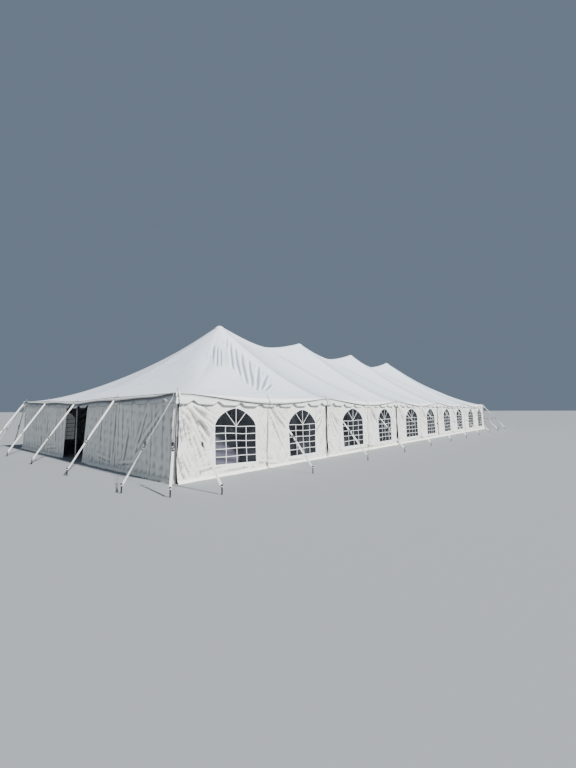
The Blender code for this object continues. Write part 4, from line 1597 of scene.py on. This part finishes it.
HANG = {
    ("front", 1): (
        (0.0, 0.0, 0.0, 0.0),
        (1.12, -0.060, 0.030, 0.0),
        (2.54, -0.030, -0.030, 0.0),
        (3.40, -0.045, -0.035, 0.0),
        (4.03, -0.060, -0.042, 0.0),
        (5.45, -0.060, -0.045, 0.0),
        (6.10, -0.040, 0.0, 0.0),
    ),
    ("front", 2): (
        (0.0, 0.020, 0.0, 0.0),
        (1.12, -0.060, 0.0, 0.0),
        (2.54, 0.050, 0.0, 0.045),
        (3.40, 0.040, -0.010, 0.050),
        (4.03, 0.010, -0.020, 0.020),
        (6.10, -0.090, 0.0, 0.0),
    ),
    ("front", 3): (
        (0.0, 0.050, 0.0, 0.0),
        (1.12, -0.060, 0.0, 0.0),
        (2.54, 0.050, 0.0, 0.050),
        (3.40, 0.040, 0.0, 0.050),
        (6.10, -0.050, 0.0, 0.0),
    ),
    ("front", 4): ((0.0, 0.040, 0.0, 0.0), (1.12, 0.0, 0.0, 0.0), (6.10, 0.0, 0.0, 0.0)),
}
EDGE_PULL = 0.055


def panel_place(side, number, along, up, out):
    """Places of a panel's points in the tent's frame.

    The near panels hang unevenly, so their windows are a few centimetres aside or askew. HANG
    says how far at some places along a panel: aside, up and out, between its top and its foot.
    """
    if (side, number) in HANG:
        stations, *moves = zip(*HANG[side, number])
        slack = smooth_step(up, 0.02, 0.22) * (1 - smooth_step(up, 1.74, 1.96))
        aside, lifted, further = (np.interp(along, stations, move) * slack for move in moves)
        along = along + aside
        up = up + lifted
        out = out + further
    if first_of_side(side, number):
        at_edge = smooth_step(up, 0.50, 1.05) * (1 - smooth_step(along, 0.0, 0.60))
        along = along + EDGE_PULL * at_edge
    x, y = on_side(side, SECTION * (number - 1) + along, WALL_FACE + out)
    return x, y, up


def long_panel(side, number, owner):
    """One sidewall panel of two bays with its two openings."""
    piece, across, lift = grid_piece(f"{side}_panel_{number}", *WALL_CELLS)
    start = -PAST_CORNER if number == 1 else PANEL_END
    end = SECTION + (PAST_CORNER if number == SECTION_COUNT else -PANEL_END)
    along = start + across * (end - start)
    up = lift * WALL_TOP
    pick_windows(piece, along, up)
    relief = functools.partial(panel_relief, side, number)
    move_points(piece, *panel_place(side, number, along, up, relief(along, up)))
    # Painted shade in the panel's folds, painted highlight on their ridges, and painted light on
    # the hem.
    mark_folds(piece, relief, along, up, *WALL_FOLDS, folds_shown(up))
    delete_selected_faces(piece)
    return finish_cloth(piece, WALL_THICKNESS, 50, wall_paint, owner)


panels = {}
for number in range(1, SECTION_COUNT + 1):
    opposite = SECTION_COUNT + 1 - number
    panels["front", number] = long_panel("front", number, f"front_wall_{number}")
    panels["back", number] = long_panel("back", number, f"back_wall_{opposite}")
print("long panels:", len(panels), "with", triangles(panels["front", 1]), "triangles each")

# %% [markdown]
# ## Window bars and clear sheets
# The bars are strips of white vinyl welded on the clear sheet: a frame round the arch, a
# springer, two uprights either side of a middle one, five rows of panes, and three rays in the
# arch. Each strip is a thin grid along a path on the wall, so it follows the wall's folds. The
# clear sheet behind is one rippled grid, cut to the arch's shape by squeezing its rows.

# %% Strips along a path on the wall
BAR_HALF = 0.0080
BAR_THICKNESS = 0.003
BAR_STEP = 0.06
FRAME_HALF = 0.026
FRAME_OUTSET = 0.020
SILL_POINTS = 15
JAMB_POINTS = 14
ARCH_POINTS = 36


def strip_on_wall(name, path, half_width, rise, side, number, closed=False):
    """A strip of vinyl along a path of (along, up) places on a panel."""
    path = np.array(path, float)
    columns = len(path) if closed else len(path) - 1
    piece, across, over = grid_piece(name, columns, 2)
    order = np.round(across * columns).astype(int)
    forward = np.roll(path, -1, axis=0) - np.roll(path, 1, axis=0)
    if not closed:
        forward[0] = path[1] - path[0]
        forward[-1] = path[-1] - path[-2]
    forward /= np.linalg.norm(forward, axis=1)[:, None]
    order %= len(path)
    offset = (over * 2 - 1) * half_width
    along = path[order, 0] - forward[order, 1] * offset
    up = path[order, 1] + forward[order, 0] * offset
    out = panel_relief(side, number, along, up)
    out += rise * (0.55 + 0.45 * (1 - np.abs(over * 2 - 1)))
    move_points(piece, *panel_place(side, number, along, up, out))
    if closed:
        select_only(piece)
        bpy.ops.object.mode_set(mode="EDIT")
        bpy.ops.mesh.select_all(action="SELECT")
        bpy.ops.mesh.remove_doubles(threshold=0.0005)
        bpy.ops.object.mode_set(mode="OBJECT")
    thicken(piece, BAR_THICKNESS)
    return piece


def straight(start, end, wobble=0.0, seed=0):
    """Points of a bar from start to end, a little wavy as soft vinyl is."""
    start, way = np.array(start), np.subtract(end, start)
    length = math.hypot(*way)
    share = np.linspace(0, 1, max(4, round(length / BAR_STEP)) + 1)
    wave = wobble * np.sin(math.pi * share) * np.sin(5 * share + seed)
    aside = np.array((-way[1], way[0])) / length
    return start + np.outer(share, way) + np.outer(wave, aside)


def arch_point(centre, angle, outset=0.0):
    """A point of the arch over the jambs, which is a little more pointed than an ellipse."""
    across = math.copysign(abs(math.cos(angle)) ** (2 / ARCH_POWER), math.cos(angle))
    over = max(math.sin(angle), 0.0) ** (2 / ARCH_POWER)
    return centre + (WINDOW_HALF + outset) * across, WINDOW_SPRING + (WINDOW_RISE + outset) * over


def arch_path(centre):
    """The middle of the frame's strip round a window, anticlockwise as seen from outside."""
    half = WINDOW_HALF + FRAME_OUTSET
    sill = WINDOW_SILL - FRAME_OUTSET
    onward = np.linspace(0, 1, SILL_POINTS, endpoint=False)
    upward = np.linspace(0, 1, JAMB_POINTS, endpoint=False)
    jamb = WINDOW_SPRING - sill
    points = [(centre - half + 2 * half * share, sill) for share in onward]
    points += [(centre + half, sill + jamb * share) for share in upward]
    for angle in np.linspace(0, math.pi, ARCH_POINTS, endpoint=False):
        points.append(arch_point(centre, angle, FRAME_OUTSET))
    points += [(centre - half, WINDOW_SPRING - jamb * share) for share in upward]
    return points


print("points round an arch:", len(arch_path(WINDOW_CENTRES[0])))

# %% Bars of every window
PANE_ROWS = 5
PANE_COLUMNS = 4
RAYS = (55, 90, 125)
FRAME_RISE = 0.0045
UPRIGHT_RISE = 0.0030
RAIL_RISE = 0.0036
RAY_RISE = 0.0026
PANE_WELD = 0.018
PANE_BEHIND = 0.0052


def window_bars(side, number, place, centre):
    """The frame, uprights, rails and rays of one window, as one piece."""
    name = f"{side}_window_bars_{number}_{place}"
    seed = panel_seed(side, number) + place
    panel = (side, number)
    path = arch_path(centre)
    strips = [strip_on_wall(name, path, FRAME_HALF, FRAME_RISE, *panel, closed=True)]
    left, right = centre - WINDOW_HALF, centre + WINDOW_HALF
    for step in range(1, PANE_COLUMNS):
        along = left + 2 * WINDOW_HALF * step / PANE_COLUMNS
        path = straight((along, WINDOW_SILL), (along, WINDOW_SPRING), 0.008, seed + step)
        strips.append(strip_on_wall("upright", path, BAR_HALF, UPRIGHT_RISE, *panel))
    for step in range(1, PANE_ROWS + 1):
        up = WINDOW_SILL + (WINDOW_SPRING - WINDOW_SILL) * step / PANE_ROWS
        path = straight((left, up), (right, up), 0.012, seed * 0.7 + step)
        strips.append(strip_on_wall("rail", path, BAR_HALF, RAIL_RISE, *panel))
    for angle in RAYS:
        path = straight((centre, WINDOW_SPRING), arch_point(centre, math.radians(angle)))
        strips.append(strip_on_wall("ray", path, BAR_HALF, RAY_RISE, *panel))
    piece = join_pieces(name, strips)
    smooth(piece, 50)
    dress(piece, trim_paint)
    return piece


def painted_glare_on(across, up, seed, strong):
    """Where a clear sheet gets painted reflection of the bright sky instead of the dark inside,
    from 0 to 1.
    """
    patches = 0.5 + 0.35 * rumple(across * 0.8, up, seed, 0.75)
    patches = 0.20 * smooth_step(patches, 0.60, 1.0)
    patches = patches * smooth_step(WINDOW_SPRING - up, 0.0, 0.3)
    if strong:
        patches = patches * 0.4
        corner = smooth_step(0.82 - up - 0.70 * (across + 0.30), 0.0, 0.20)
        corner = corner * (across < 0.02 + 0.10 * up)
        bands = 0.62 + 0.26 * np.sin(2 * math.pi * (up + 0.15 * across) / 0.19)
        patches = np.maximum(patches, corner * bands)
    return patches


def clear_sheet(side, number, place, centre):
    """The clear vinyl of one window, a little larger than its opening."""
    piece, across, lift = grid_piece(f"{side}_clear_sheet_{number}_{place}", 32, 48)
    from_middle = across * 2 - 1
    half = WINDOW_HALF + PANE_WELD
    arch = np.maximum(0, 1 - 0.985 * np.abs(from_middle) ** ARCH_POWER) ** (1 / ARCH_POWER)
    crown = WINDOW_SPRING + (WINDOW_RISE + PANE_WELD) * arch
    up = WINDOW_SILL - PANE_WELD + lift * (crown - WINDOW_SILL + PANE_WELD)
    along = centre + from_middle * half
    seed = panel_seed(side, number) + 10 + place
    strong = first_of_side(side, number) and place == 1
    # Painted reflection of the sky on the clear sheet.
    write_attribute(piece, "glare", painted_glare_on(along - centre, up, seed, strong))
    ripple = 0.0025 * rumple(along, up * 0.5, seed, 0.45)
    ripple = ripple + 0.0012 * rumple(along, up, seed + 3, 0.16)
    out = panel_relief(side, number, along, up)
    out += np.clip(ripple, -0.004, 0.0020) - PANE_BEHIND
    move_points(piece, *panel_place(side, number, along, up, out))
    owner = f"{side}_window_sheet"
    return finish_cloth(piece, 0.0010, 60, window_paint, owner)


panes = []
for (side, number), panel in panels.items():
    for place, centre in enumerate(WINDOW_CENTRES, start=1):
        window_bars(side, number, place, centre)
        panes.append(clear_sheet(side, number, place, centre))
# %% [markdown]
# ## Short sidewalls
# The end walls have no windows, so nothing holds them flat: they hang in long vertical folds,
# and at the doorway two panels are drawn aside round the middle pole. Their folds bunch up
# towards the doorway's edges, lean outward at the foot, and the hem spreads on the ground. One
# grid for each panel does it, with deep sine folds whose spacing tightens near the gathered edge.

# %% Folds of the short walls
SHORT_FACE = 0.0276
DOOR_FRONT = (-0.99, -0.68)
DOOR_BACK = (0.90, 1.04)
SHORT_CELLS = (220, 44)
SHORT_FOLDS = {True: 13, False: 11}
FOLD_SIZE = 0.046
CURTAIN_FOLDS = (0.060, 0.009)
CORNER_GAP = 0.020
SHORT_CREASES = (
    ((0.55, 1.75), (1.90, 0.62), 0.050, 0.026),
    ((1.30, 1.80), (2.05, 0.35), 0.045, 0.024),
    ((2.30, 1.20), (2.62, 0.16), 0.045, 0.034),
    ((3.10, 1.85), (3.24, 0.30), 0.040, 0.028),
    ((4.05, 1.80), (4.18, 0.45), 0.040, 0.026),
    ((1.90, 0.34), (2.90, 0.22), 0.036, 0.018),
    ((3.20, 0.26), (4.30, 0.36), 0.036, 0.018),
)


def drape(share, up, seed, folds, size, gathered):
    """Vertical folds that grow from a panel's outer end, where share is 0, to its inner one."""
    dice = np.random.default_rng(seed)
    squeeze = share + gathered * 0.16 * share**3
    squeeze += 0.034 * np.sin(2 * math.pi * share * 2.3 + dice.uniform(0, 6))
    squeeze += 0.014 * np.sin(2 * math.pi * share * 5.7 + dice.uniform(0, 6))
    lean = 0.05 * np.sin(2.1 * (up / WALL_TOP) + dice.uniform(0, 6))
    phase = 2 * math.pi * folds * (squeeze + lean / folds)
    main = np.abs(np.sin(phase / 2 + dice.uniform(0, 3))) ** 0.75
    second = 0.5 + 0.5 * np.sin(phase * 1.63 + 3 * up / WALL_TOP + dice.uniform(0, 6))
    depth = size * (0.66 + 0.42 * rumple(share * 5, up * 0.4, seed + 1, 1.5))
    depth = np.clip(depth, size * 0.20, size * 1.25)
    depth = depth * (0.45 + 0.55 * smooth_step(share, 0.06, 0.40))
    near_top = 0.35 + 0.65 * smooth_step(WALL_TOP - up, 0.0, 0.7)
    at_door = 1 - 0.75 * gathered * smooth_step(share, 0.90, 1.0)
    return depth * near_top * at_door * (0.72 * main + 0.28 * second)


def short_foot(along, up, seed):
    """The hem on the ground: crumpled, and spread a few centimetres outward."""
    low = np.clip(1 - up / 0.30, 0, 1)
    waves = rumple(along, up * 0.5, seed + 5, 0.42)
    small = rumple(along, up, seed + 6, 0.16)
    return low**1.6 * (0.020 + 0.015 * waves + 0.006 * small) + hem_on_ground(up)


def short_relief(along, up, seed, length, gathered):
    """How far a short panel stands out: along is the distance from its outer end."""
    share = np.clip(along / length, 0, 1)
    out = drape(share, up, seed, SHORT_FOLDS[gathered], FOLD_SIZE, gathered)
    out += short_foot(along, up, seed) + 0.0055 * rumple(along, up, seed + 2, 0.28)
    for start, end, width, size in SHORT_CREASES:
        out += crease(along, up, start, end, width, size * (1.0 if gathered else 0.6))
    corner_fold = 0.030 * np.exp(-(((along - 0.075) / 0.040) ** 2))
    out += corner_fold * smooth_step(WALL_TOP - up, 0.0, 0.5)
    anchored = 0.15 + 0.85 * smooth_step(along, 0.0, 0.05)
    pinned = 1 - 0.70 * gathered * smooth_step(share, 0.90, 1.0)
    return np.maximum(out * anchored * pinned + 0.012 * (1 - up / WALL_TOP), 0.0)


# %% Short wall panels


def short_panel(name, side, outer_way, top_end, foot_end, seed, owner):
    """One end wall panel, from its corner to its inner end at the top and at the foot.

    outer_way is 1 where the corner is at the side's right end seen from outside, else -1.
    """
    piece, across, lift = grid_piece(name, *SHORT_CELLS)
    up = lift * WALL_TOP
    gathered = side == "left"
    inner = top_end + (foot_end - top_end) * (1 - lift)
    outer = outer_way * (HALF_WIDTH + CORNER_GAP)
    share = across if outer_way < 0 else 1 - across
    along = np.abs(inner - outer) * share
    length = float(np.abs(inner - outer).mean())
    relief = functools.partial(short_relief, seed=seed, length=length, gathered=gathered)
    out = SHORT_FACE + relief(along, up)
    x, y = on_side(side, outer - outer_way * along + HALF_WIDTH, out)
    move_points(piece, x, y, up)
    # Painted shade in the curtain's folds, painted highlight on their ridges, and painted light on
    # the hem.
    mark_folds(piece, relief, along, up, *CURTAIN_FOLDS, folds_shown(up))
    return finish_cloth(piece, WALL_THICKNESS, 50, wall_paint, owner)


SHORT_WALLS = (
    ("left", "front", 1, (-DOOR_FRONT[0], -DOOR_FRONT[1]), 901),
    ("left", "back", -1, (-DOOR_BACK[0], -DOOR_BACK[1]), 912),
    ("right", "front", -1, (-0.01, -0.01), 922),
    ("right", "back", 1, (0.01, 0.01), 931),
)
short_walls = []
for side, half, outer_way, inner_ends, seed in SHORT_WALLS:
    name, owner = f"{side}_{half}_curtain", f"{side}_wall_{half}"
    short_walls.append(short_panel(name, side, outer_way, *inner_ends, seed, owner))
print("short wall panels:", [round(cloth_area(piece), 1) for piece in short_walls], "m2 of cloth")


# %% [markdown]
# ## Ratchets, links and stakes
# A ratchet has two side plates with a spool between them, on which the strap is wound, and a
# handle that folds over it. It is modelled once, lying along +X with its middle at the origin,
# from beveled plates and rods, and is then copied to every guy. The ring, the link and the
# stake are made the same way.

# %% Pattern of the ratchet
RATCHET_HALF_WIDTH = 0.031
PLATE_THICKNESS = 0.003
SPOOL_AT = 0.030
BOLT_AT = 0.062
HOOK_AT = 0.120
SPOOL_RISE = 0.004
WOUND_WIDTH = 0.048


def plate(name, size, place, rounding, turn=0.0):
    """A plate with rounded corners: size along X, Y and Z, turned about Y."""
    deselect_all()
    bpy.ops.mesh.primitive_cube_add(size=1, location=place, rotation=(0, turn, 0), scale=size)
    piece = bpy.context.object
    piece.name = name
    select_only(piece)
    bpy.ops.object.transform_apply(location=False, rotation=False, scale=True)
    thin = size.index(min(size))
    pick_in_code(piece, "EDGE")
    for edge in piece.data.edges:
        first, second = (piece.data.vertices[index].co for index in edge.vertices)
        edge.select = abs(first[thin] - second[thin]) > size[thin] / 2
    bpy.ops.object.mode_set(mode="EDIT")
    bpy.ops.mesh.bevel(offset=rounding, segments=3, affect="EDGES")
    bpy.ops.object.mode_set(mode="OBJECT")
    place_in_mesh(piece)
    return piece


def rod(name, radius, length, place, sides=12):
    """A rod across the strap, along Y, with chamfered ends."""
    end = radius * 0.25
    rings = [(radius - end, 0), (radius, end), (radius, length - end), (radius - end, length)]
    piece = turned_piece(name, rings, sides)
    turn = Matrix.Rotation(-math.pi / 2, 4, "X")
    piece.data.transform(Matrix.Translation((place[0], place[1] - length / 2, place[2])) @ turn)
    return piece


def ratchet_pattern():
    """A closed ratchet, along +X, with the strap wound on its spool."""
    wide, thick = RATCHET_HALF_WIDTH, PLATE_THICKNESS
    tilt, pawl_tilt = math.radians(8), math.radians(-6)
    parts = []
    for side in (-1, 1):
        parts += [
            plate("side_plate", (0.110, thick, 0.034), (0.015, side * (wide - 0.004), 0), 0.013),
            plate("arm", (0.120, thick, 0.022), (-0.010, side * wide, 0.012), 0.009, tilt),
            rod("cog", 0.019, 0.004, (SPOOL_AT, side * (wide - 0.008), SPOOL_RISE), 10),
        ]
    parts += [
        rod("spool", 0.0095, 2 * wide + 0.010, (SPOOL_AT, 0, SPOOL_RISE), 12),
        rod("anchor_bolt", 0.0060, 2 * wide, (BOLT_AT, 0, -0.004), 10),
        rod("handle_bar", 0.0075, 2 * wide + 0.004, (-0.068, 0, 0.021), 10),
        plate("grip", (0.040, 2 * wide - 0.004, thick), (-0.052, 0, 0.020), 0.008, tilt),
        plate("hook", (0.040, 0.050, 0.009), (HOOK_AT, 0, 0.002), 0.010),
        plate("pawl", (0.030, 2 * wide - 0.012, thick), (-0.008, 0, 0.006), 0.005, pawl_tilt),
    ]
    return join_pieces("ratchet_pattern", parts)


def wound_strap():
    """The turns of strap on the spool."""
    rings = [(0.0215, 0), (0.0230, 0.001), (0.0230, WOUND_WIDTH - 0.001), (0.0215, WOUND_WIDTH)]
    piece = turned_piece("wound_strap", rings, 16)
    at_spool = Matrix.Translation((SPOOL_AT, -WOUND_WIDTH / 2, SPOOL_RISE))
    piece.data.transform(at_spool @ Matrix.Rotation(-math.pi / 2, 4, "X"))
    return piece


ratchet = ratchet_pattern()
wound = wound_strap()
print("ratchet:", triangles(ratchet), "triangles")

# %% Patterns of link, ring and stake
STAKE_HEIGHT = 0.200


def oval_link(name, length, width, thickness, segments=20):
    """An oval link of round bar, along +X from the origin, flat in the strap's plane."""
    radius = width / 2
    deselect_all()
    bpy.ops.mesh.primitive_torus_add(
        major_radius=radius - thickness / 2,
        minor_radius=thickness / 2,
        major_segments=segments,
        minor_segments=8,
    )
    piece = bpy.context.object
    piece.name = name
    pick_in_code(piece, "VERT")
    for point in piece.data.vertices:
        point.select = point.co.x > 0.0001
    bpy.ops.object.mode_set(mode="EDIT")
    bpy.ops.transform.translate(value=(length - width, 0, 0))
    bpy.ops.object.mode_set(mode="OBJECT")
    place_in_mesh(piece)
    piece.data.transform(Matrix.Translation((radius, 0, 0)))
    return piece


def stake_pattern():
    """A stake: a bare rod with a head hammered wide, standing at the origin."""
    rings = [
        (0.0140, 0.0),
        (0.0145, 0.004),
        (0.0145, 0.160),
        (0.0150, 0.168),
        (0.0225, 0.174),
        (0.0240, 0.182),
        (0.0225, 0.192),
        (0.0160, 0.199),
        (0.0060, STAKE_HEIGHT),
    ]
    return turned_piece("stake_pattern", rings, 14)


link = oval_link("link_pattern", 0.040, 0.058, 0.007)
ring = oval_link("ring_pattern", 0.046, 0.046, 0.009)
stake = stake_pattern()
for pattern in (ratchet, wound, link, ring, stake):
    smooth(pattern, 35)
print("link:", triangles(link), "triangles, stake:", triangles(stake))

# %% [markdown]
# ## Straps
# A guy is two lengths of woven strap, one from the eave to the ratchet and one from the ratchet
# to the stake, where it loops round the rod. Straps turn as they are tightened, so some show
# their face and some their edge. A grid along the line, rolled a little more at every step,
# gives that twist, and a UV map in metres carries the weave.

# %% Straps along a line
STRAP_CELL = 0.03
STRAP_THICKNESS = 0.0028
TAB_ROUTE = (
    (0.010, 0.002),
    (0.045, 0.006),
    (0.075, 0.006),
    (0.090, 0.001),
    (0.097, -0.012),
    (0.099, -0.035),
    (0.100, -0.060),
    (0.098, -0.094),
)
TAB_LENGTH = 0.19
TAB_WIDTH = 0.040


def metre_uv(piece, width, length):
    """Scale a grid's UV map from 0 to 1 to metres, so that a weave keeps its size."""
    places = piece.data.uv_layers[0].data
    values = np.empty(len(places) * 2, np.float32)
    places.foreach_get("uv", values)
    values = values.reshape(-1, 2) * np.array((width, length), np.float32)
    places.foreach_set("uv", values.ravel())


def frame_along(start, end):
    """Unit vectors of a line: along it, level across it, and up from it."""
    along = (end - start).normalized()
    across = Vector((0, 0, 1)).cross(along).normalized()
    return along, across, along.cross(across)


def strap(name, start, end, width, rolls):
    """A woven strap from start to end, rolled from the first to the last of rolls, in degrees."""
    length = (end - start).length
    along, across, up = frame_along(start, end)
    rows = max(12, round(length / STRAP_CELL))
    piece, sideways, onward = grid_piece(name, 6, rows)
    metre_uv(piece, width, length)
    from_middle = sideways * 2 - 1
    turn = np.radians(rolls[0] + (rolls[1] - rolls[0]) * smooth_step(onward, 0.0, 1.0))
    cupped = 0.0012 * (1 - from_middle**2)
    flutter = 0.0015 * np.sin(2 * math.pi * onward * length / 0.8) * np.sin(math.pi * onward)
    sideways, proud = from_middle * width / 2, cupped + flutter
    level = sideways * np.cos(turn) - proud * np.sin(turn)
    lift = sideways * np.sin(turn) + proud * np.cos(turn)
    onward = onward * length
    places = []
    for axis in range(3):
        on_line = start[axis] + along[axis] * onward
        places.append(on_line + across[axis] * level + up[axis] * lift)
    move_points(piece, *places)
    thicken(piece, STRAP_THICKNESS, 0.0)
    return piece


def edge_tab(ring_middle, away):
    """The short strap from a pole's ring over the edge and down to the guy's D-ring."""
    across = Vector((0, 0, 1)).cross(away)
    piece, sideways, onward = grid_piece("edge_tab", 4, len(TAB_ROUTE) - 1)
    metre_uv(piece, TAB_WIDTH, TAB_LENGTH)
    order = np.round(onward * (len(TAB_ROUTE) - 1)).astype(int)
    out, lift = np.array(TAB_ROUTE)[order].T
    level = (sideways * 2 - 1) * TAB_WIDTH / 2 * np.where(order == 0, 0.45, 1.0)
    places = [ring_middle[axis] + away[axis] * out + across[axis] * level for axis in (0, 1)]
    move_points(piece, *places, ring_middle.z + lift)
    thicken(piece, 0.0035, 0.0)
    return piece


def stake_loop(name, x, y, height):
    """The loop of the lower strap round its stake."""
    rings = [(0.0175, height - 0.016), (0.0185, height - 0.014)]
    rings += [(0.0185, height + 0.014), (0.0175, height + 0.016)]
    return turned_piece(name, rings, 16, (x, y))


print("straps ready")

# %% [markdown]
# ## Guys
# Every side pole has one guy, and every corner has three: one along each side and one along the
# diagonal. Each CAD guy is replaced by three pieces, the webbing, the fittings and the
# ratchets, because they are made of different things. The list of looks holds how the straps in
# the photograph turn.

# %% Sizes and turns of the guys
LINK_REACH = 0.095
LINK_DROP = 0.090
STRAP_END_HEIGHT = 0.165
RATCHET_PLACE = 0.58
STRAP_WIDTH = 0.050
SHORT_WIDTH = 0.040
UPPER_START = 0.020
LAP_END = 0.17
SHORT_END = 0.106
LOWER_START = 0.132
LOWER_GAP = 0.016
LONG_REACH = 1.66
SHORT_REACH = 1.24
DIAGONAL_REACH = (0.79, 1.07)

TURNED = {
    "front_1": ((-62, 35), (50, 60)),
    "front_2": ((-60, 20), (50, 60)),
    "front_3": ((-55, 20), (60, 40)),
    "left_1": ((88, 80), (70, 60)),
    "left_2": ((88, 75), (60, 70)),
    "left_3": ((85, 95), (80, 70)),
    "front_left_x": ((5, 15), (40, 70)),
    "front_left_y": ((-47, -40), (35, 45)),
    "front_left_diagonal": ((85, 50), (10, 0)),
    "back_left_x": ((80, 90), (80, 85)),
    "back_left_diagonal": ((70, 60), (60, 70)),
}
USUAL_TURN = ((15, -10), (0, 25))
print("guys with a turn of their own:", len(TURNED))

# %% One pole's guys


def guy_leg(look, pole, rim, reach, direction):
    """One strap line from a pole to its stake: its webbing pieces and its ironware pieces."""
    away = Vector((math.cos(direction), math.sin(direction), 0))
    foot = Vector((*pole, 0))
    link_height = rim + 0.005
    eye = foot + away * LINK_REACH + Vector((0, 0, link_height - LINK_DROP))
    tip = foot + away * reach + Vector((0, 0, STRAP_END_HEIGHT))
    along, across, up = frame_along(eye, tip)
    middle = eye.lerp(tip, RATCHET_PLACE)
    upper_turn, lower_turn = TURNED.get(look, USUAL_TURN)
    top = eye + along * UPPER_START
    lap_end = eye + along * LAP_END - up * 0.003
    spool = middle + along * SPOOL_AT
    bolt = middle + along * BOLT_AT
    short_end = middle + along * SHORT_END
    low = middle + along * LOWER_START
    webbing = [
        edge_tab(foot + Vector((0, 0, link_height)), away),
        strap("upper", top, spool, STRAP_WIDTH, upper_turn),
        strap("lap", top, lap_end, STRAP_WIDTH, upper_turn[:1] * 2),
        strap("short", bolt, short_end, SHORT_WIDTH, upper_turn[1:] * 2),
        strap("lower", low, tip - away * LOWER_GAP, STRAP_WIDTH, lower_turn),
        stake_loop("loop", tip.x, tip.y, STRAP_END_HEIGHT),
    ]
    roll = math.radians(upper_turn[1])
    frame_turn = Matrix((along, across, up)).transposed().to_4x4()
    frame_turn = frame_turn @ Matrix.Rotation(roll, 4, "X")
    at_middle = Matrix.Translation(middle) @ frame_turn
    webbing.append(copy_of(wound, "wound", at_middle))
    iron = [
        copy_of(link, "link", Matrix.Translation(eye - along * 0.013) @ frame_turn),
        copy_of(stake, "stake", Matrix.Translation((tip.x, tip.y, 0))),
    ]
    return webbing, iron, [copy_of(ratchet, "ratchet", at_middle)]


def make_guy(node, pole, legs):
    """All of one pole's guys. legs is a list of (look, reach, direction)."""
    rim = roof_at(*pole)
    webbing, iron, ratchets = [], [], []
    for look, reach, direction in legs:
        soft, hard, tightener = guy_leg(look, pole, rim, reach, direction)
        webbing += soft
        iron += hard
        ratchets += tightener
    at_pole = Matrix.Translation((pole[0] - 0.023, pole[1], rim + 0.0055))
    iron.append(copy_of(ring, "ring", at_pole))
    kinds = (
        ("straps", webbing, webbing_paint, "strap_web"),
        ("fittings", iron, stake_paint, "pole_steel"),
        ("ratchets", ratchets, ratchet_paint, "pole_steel"),
    )
    for kind, parts, paint, slot in kinds:
        piece = join_pieces(f"{node}_{kind}", parts)
        if kind == "straps":
            smooth(piece, 50)
        dress(piece, paint)
        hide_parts(node)


print("helpers for guys ready")

# %% Guys at every side pole
OUTWARD = {"front": -math.pi / 2, "back": math.pi / 2, "left": math.pi, "right": 0.0}

for step in range(1, LONG_BAYS):
    for side, way in (("front", -1), ("back", 1)):
        leg = (f"{side}_{step}", LONG_REACH, OUTWARD[side])
        make_guy(f"{side}_guy_{step}", (long_stations[step], way * HALF_WIDTH), [leg])
for step in range(1, SHORT_BAYS):
    for side, way in (("left", -1), ("right", 1)):
        leg = (f"{side}_{step}", SHORT_REACH, OUTWARD[side])
        make_guy(f"{side}_guy_{step}", (way * HALF_LENGTH, short_stations[step]), [leg])
for end, x_way in (("left", -1), ("right", 1)):
    for side, y_way in (("front", -1), ("back", 1)):
        corner = f"{side}_{end}"
        diagonal = math.atan2(y_way * DIAGONAL_REACH[1], x_way * DIAGONAL_REACH[0])
        legs = [
            (f"{corner}_x", SHORT_REACH, OUTWARD[end]),
            (f"{corner}_y", LONG_REACH, OUTWARD[side]),
            (f"{corner}_diagonal", math.hypot(*DIAGONAL_REACH), diagonal),
        ]
        pole = (x_way * HALF_LENGTH, y_way * HALF_WIDTH)
        make_guy(f"{corner}_corner_guys", pole, legs)
discard(ratchet, wound, link, ring, stake)
print("guys:", 2 * (LONG_BAYS - 1) + 2 * (SHORT_BAYS - 1), "single and 4 at the corners")

# %% [markdown]
# ## Area of the cloth
# Each cloth was cut flat before it was hung, so the modelled cloth should have about the same area
# as its cut piece, or it has been stretched. A roof section is cut one bay pair wide and as long
# as the way over the ridge, and a wall panel one bay pair wide, also where it is gathered. The
# hung sheets are counted, and the areas of the roof sections and valance strips are printed.

hung = (*valances, *panels.values(), *panes, *short_walls)
print("declared", len(hung), "hung sheets; cloth of the roof and the valance, in m2:")
print([round(cloth_area(piece), 2) for piece in (*roof_sections, *valances)])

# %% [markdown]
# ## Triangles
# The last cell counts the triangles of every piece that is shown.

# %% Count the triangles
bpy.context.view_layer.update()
shown = [piece for piece in bpy.data.objects if piece.type == "MESH" and not piece.hide_render]
print("triangles in all:", sum(triangles(piece) for piece in shown))
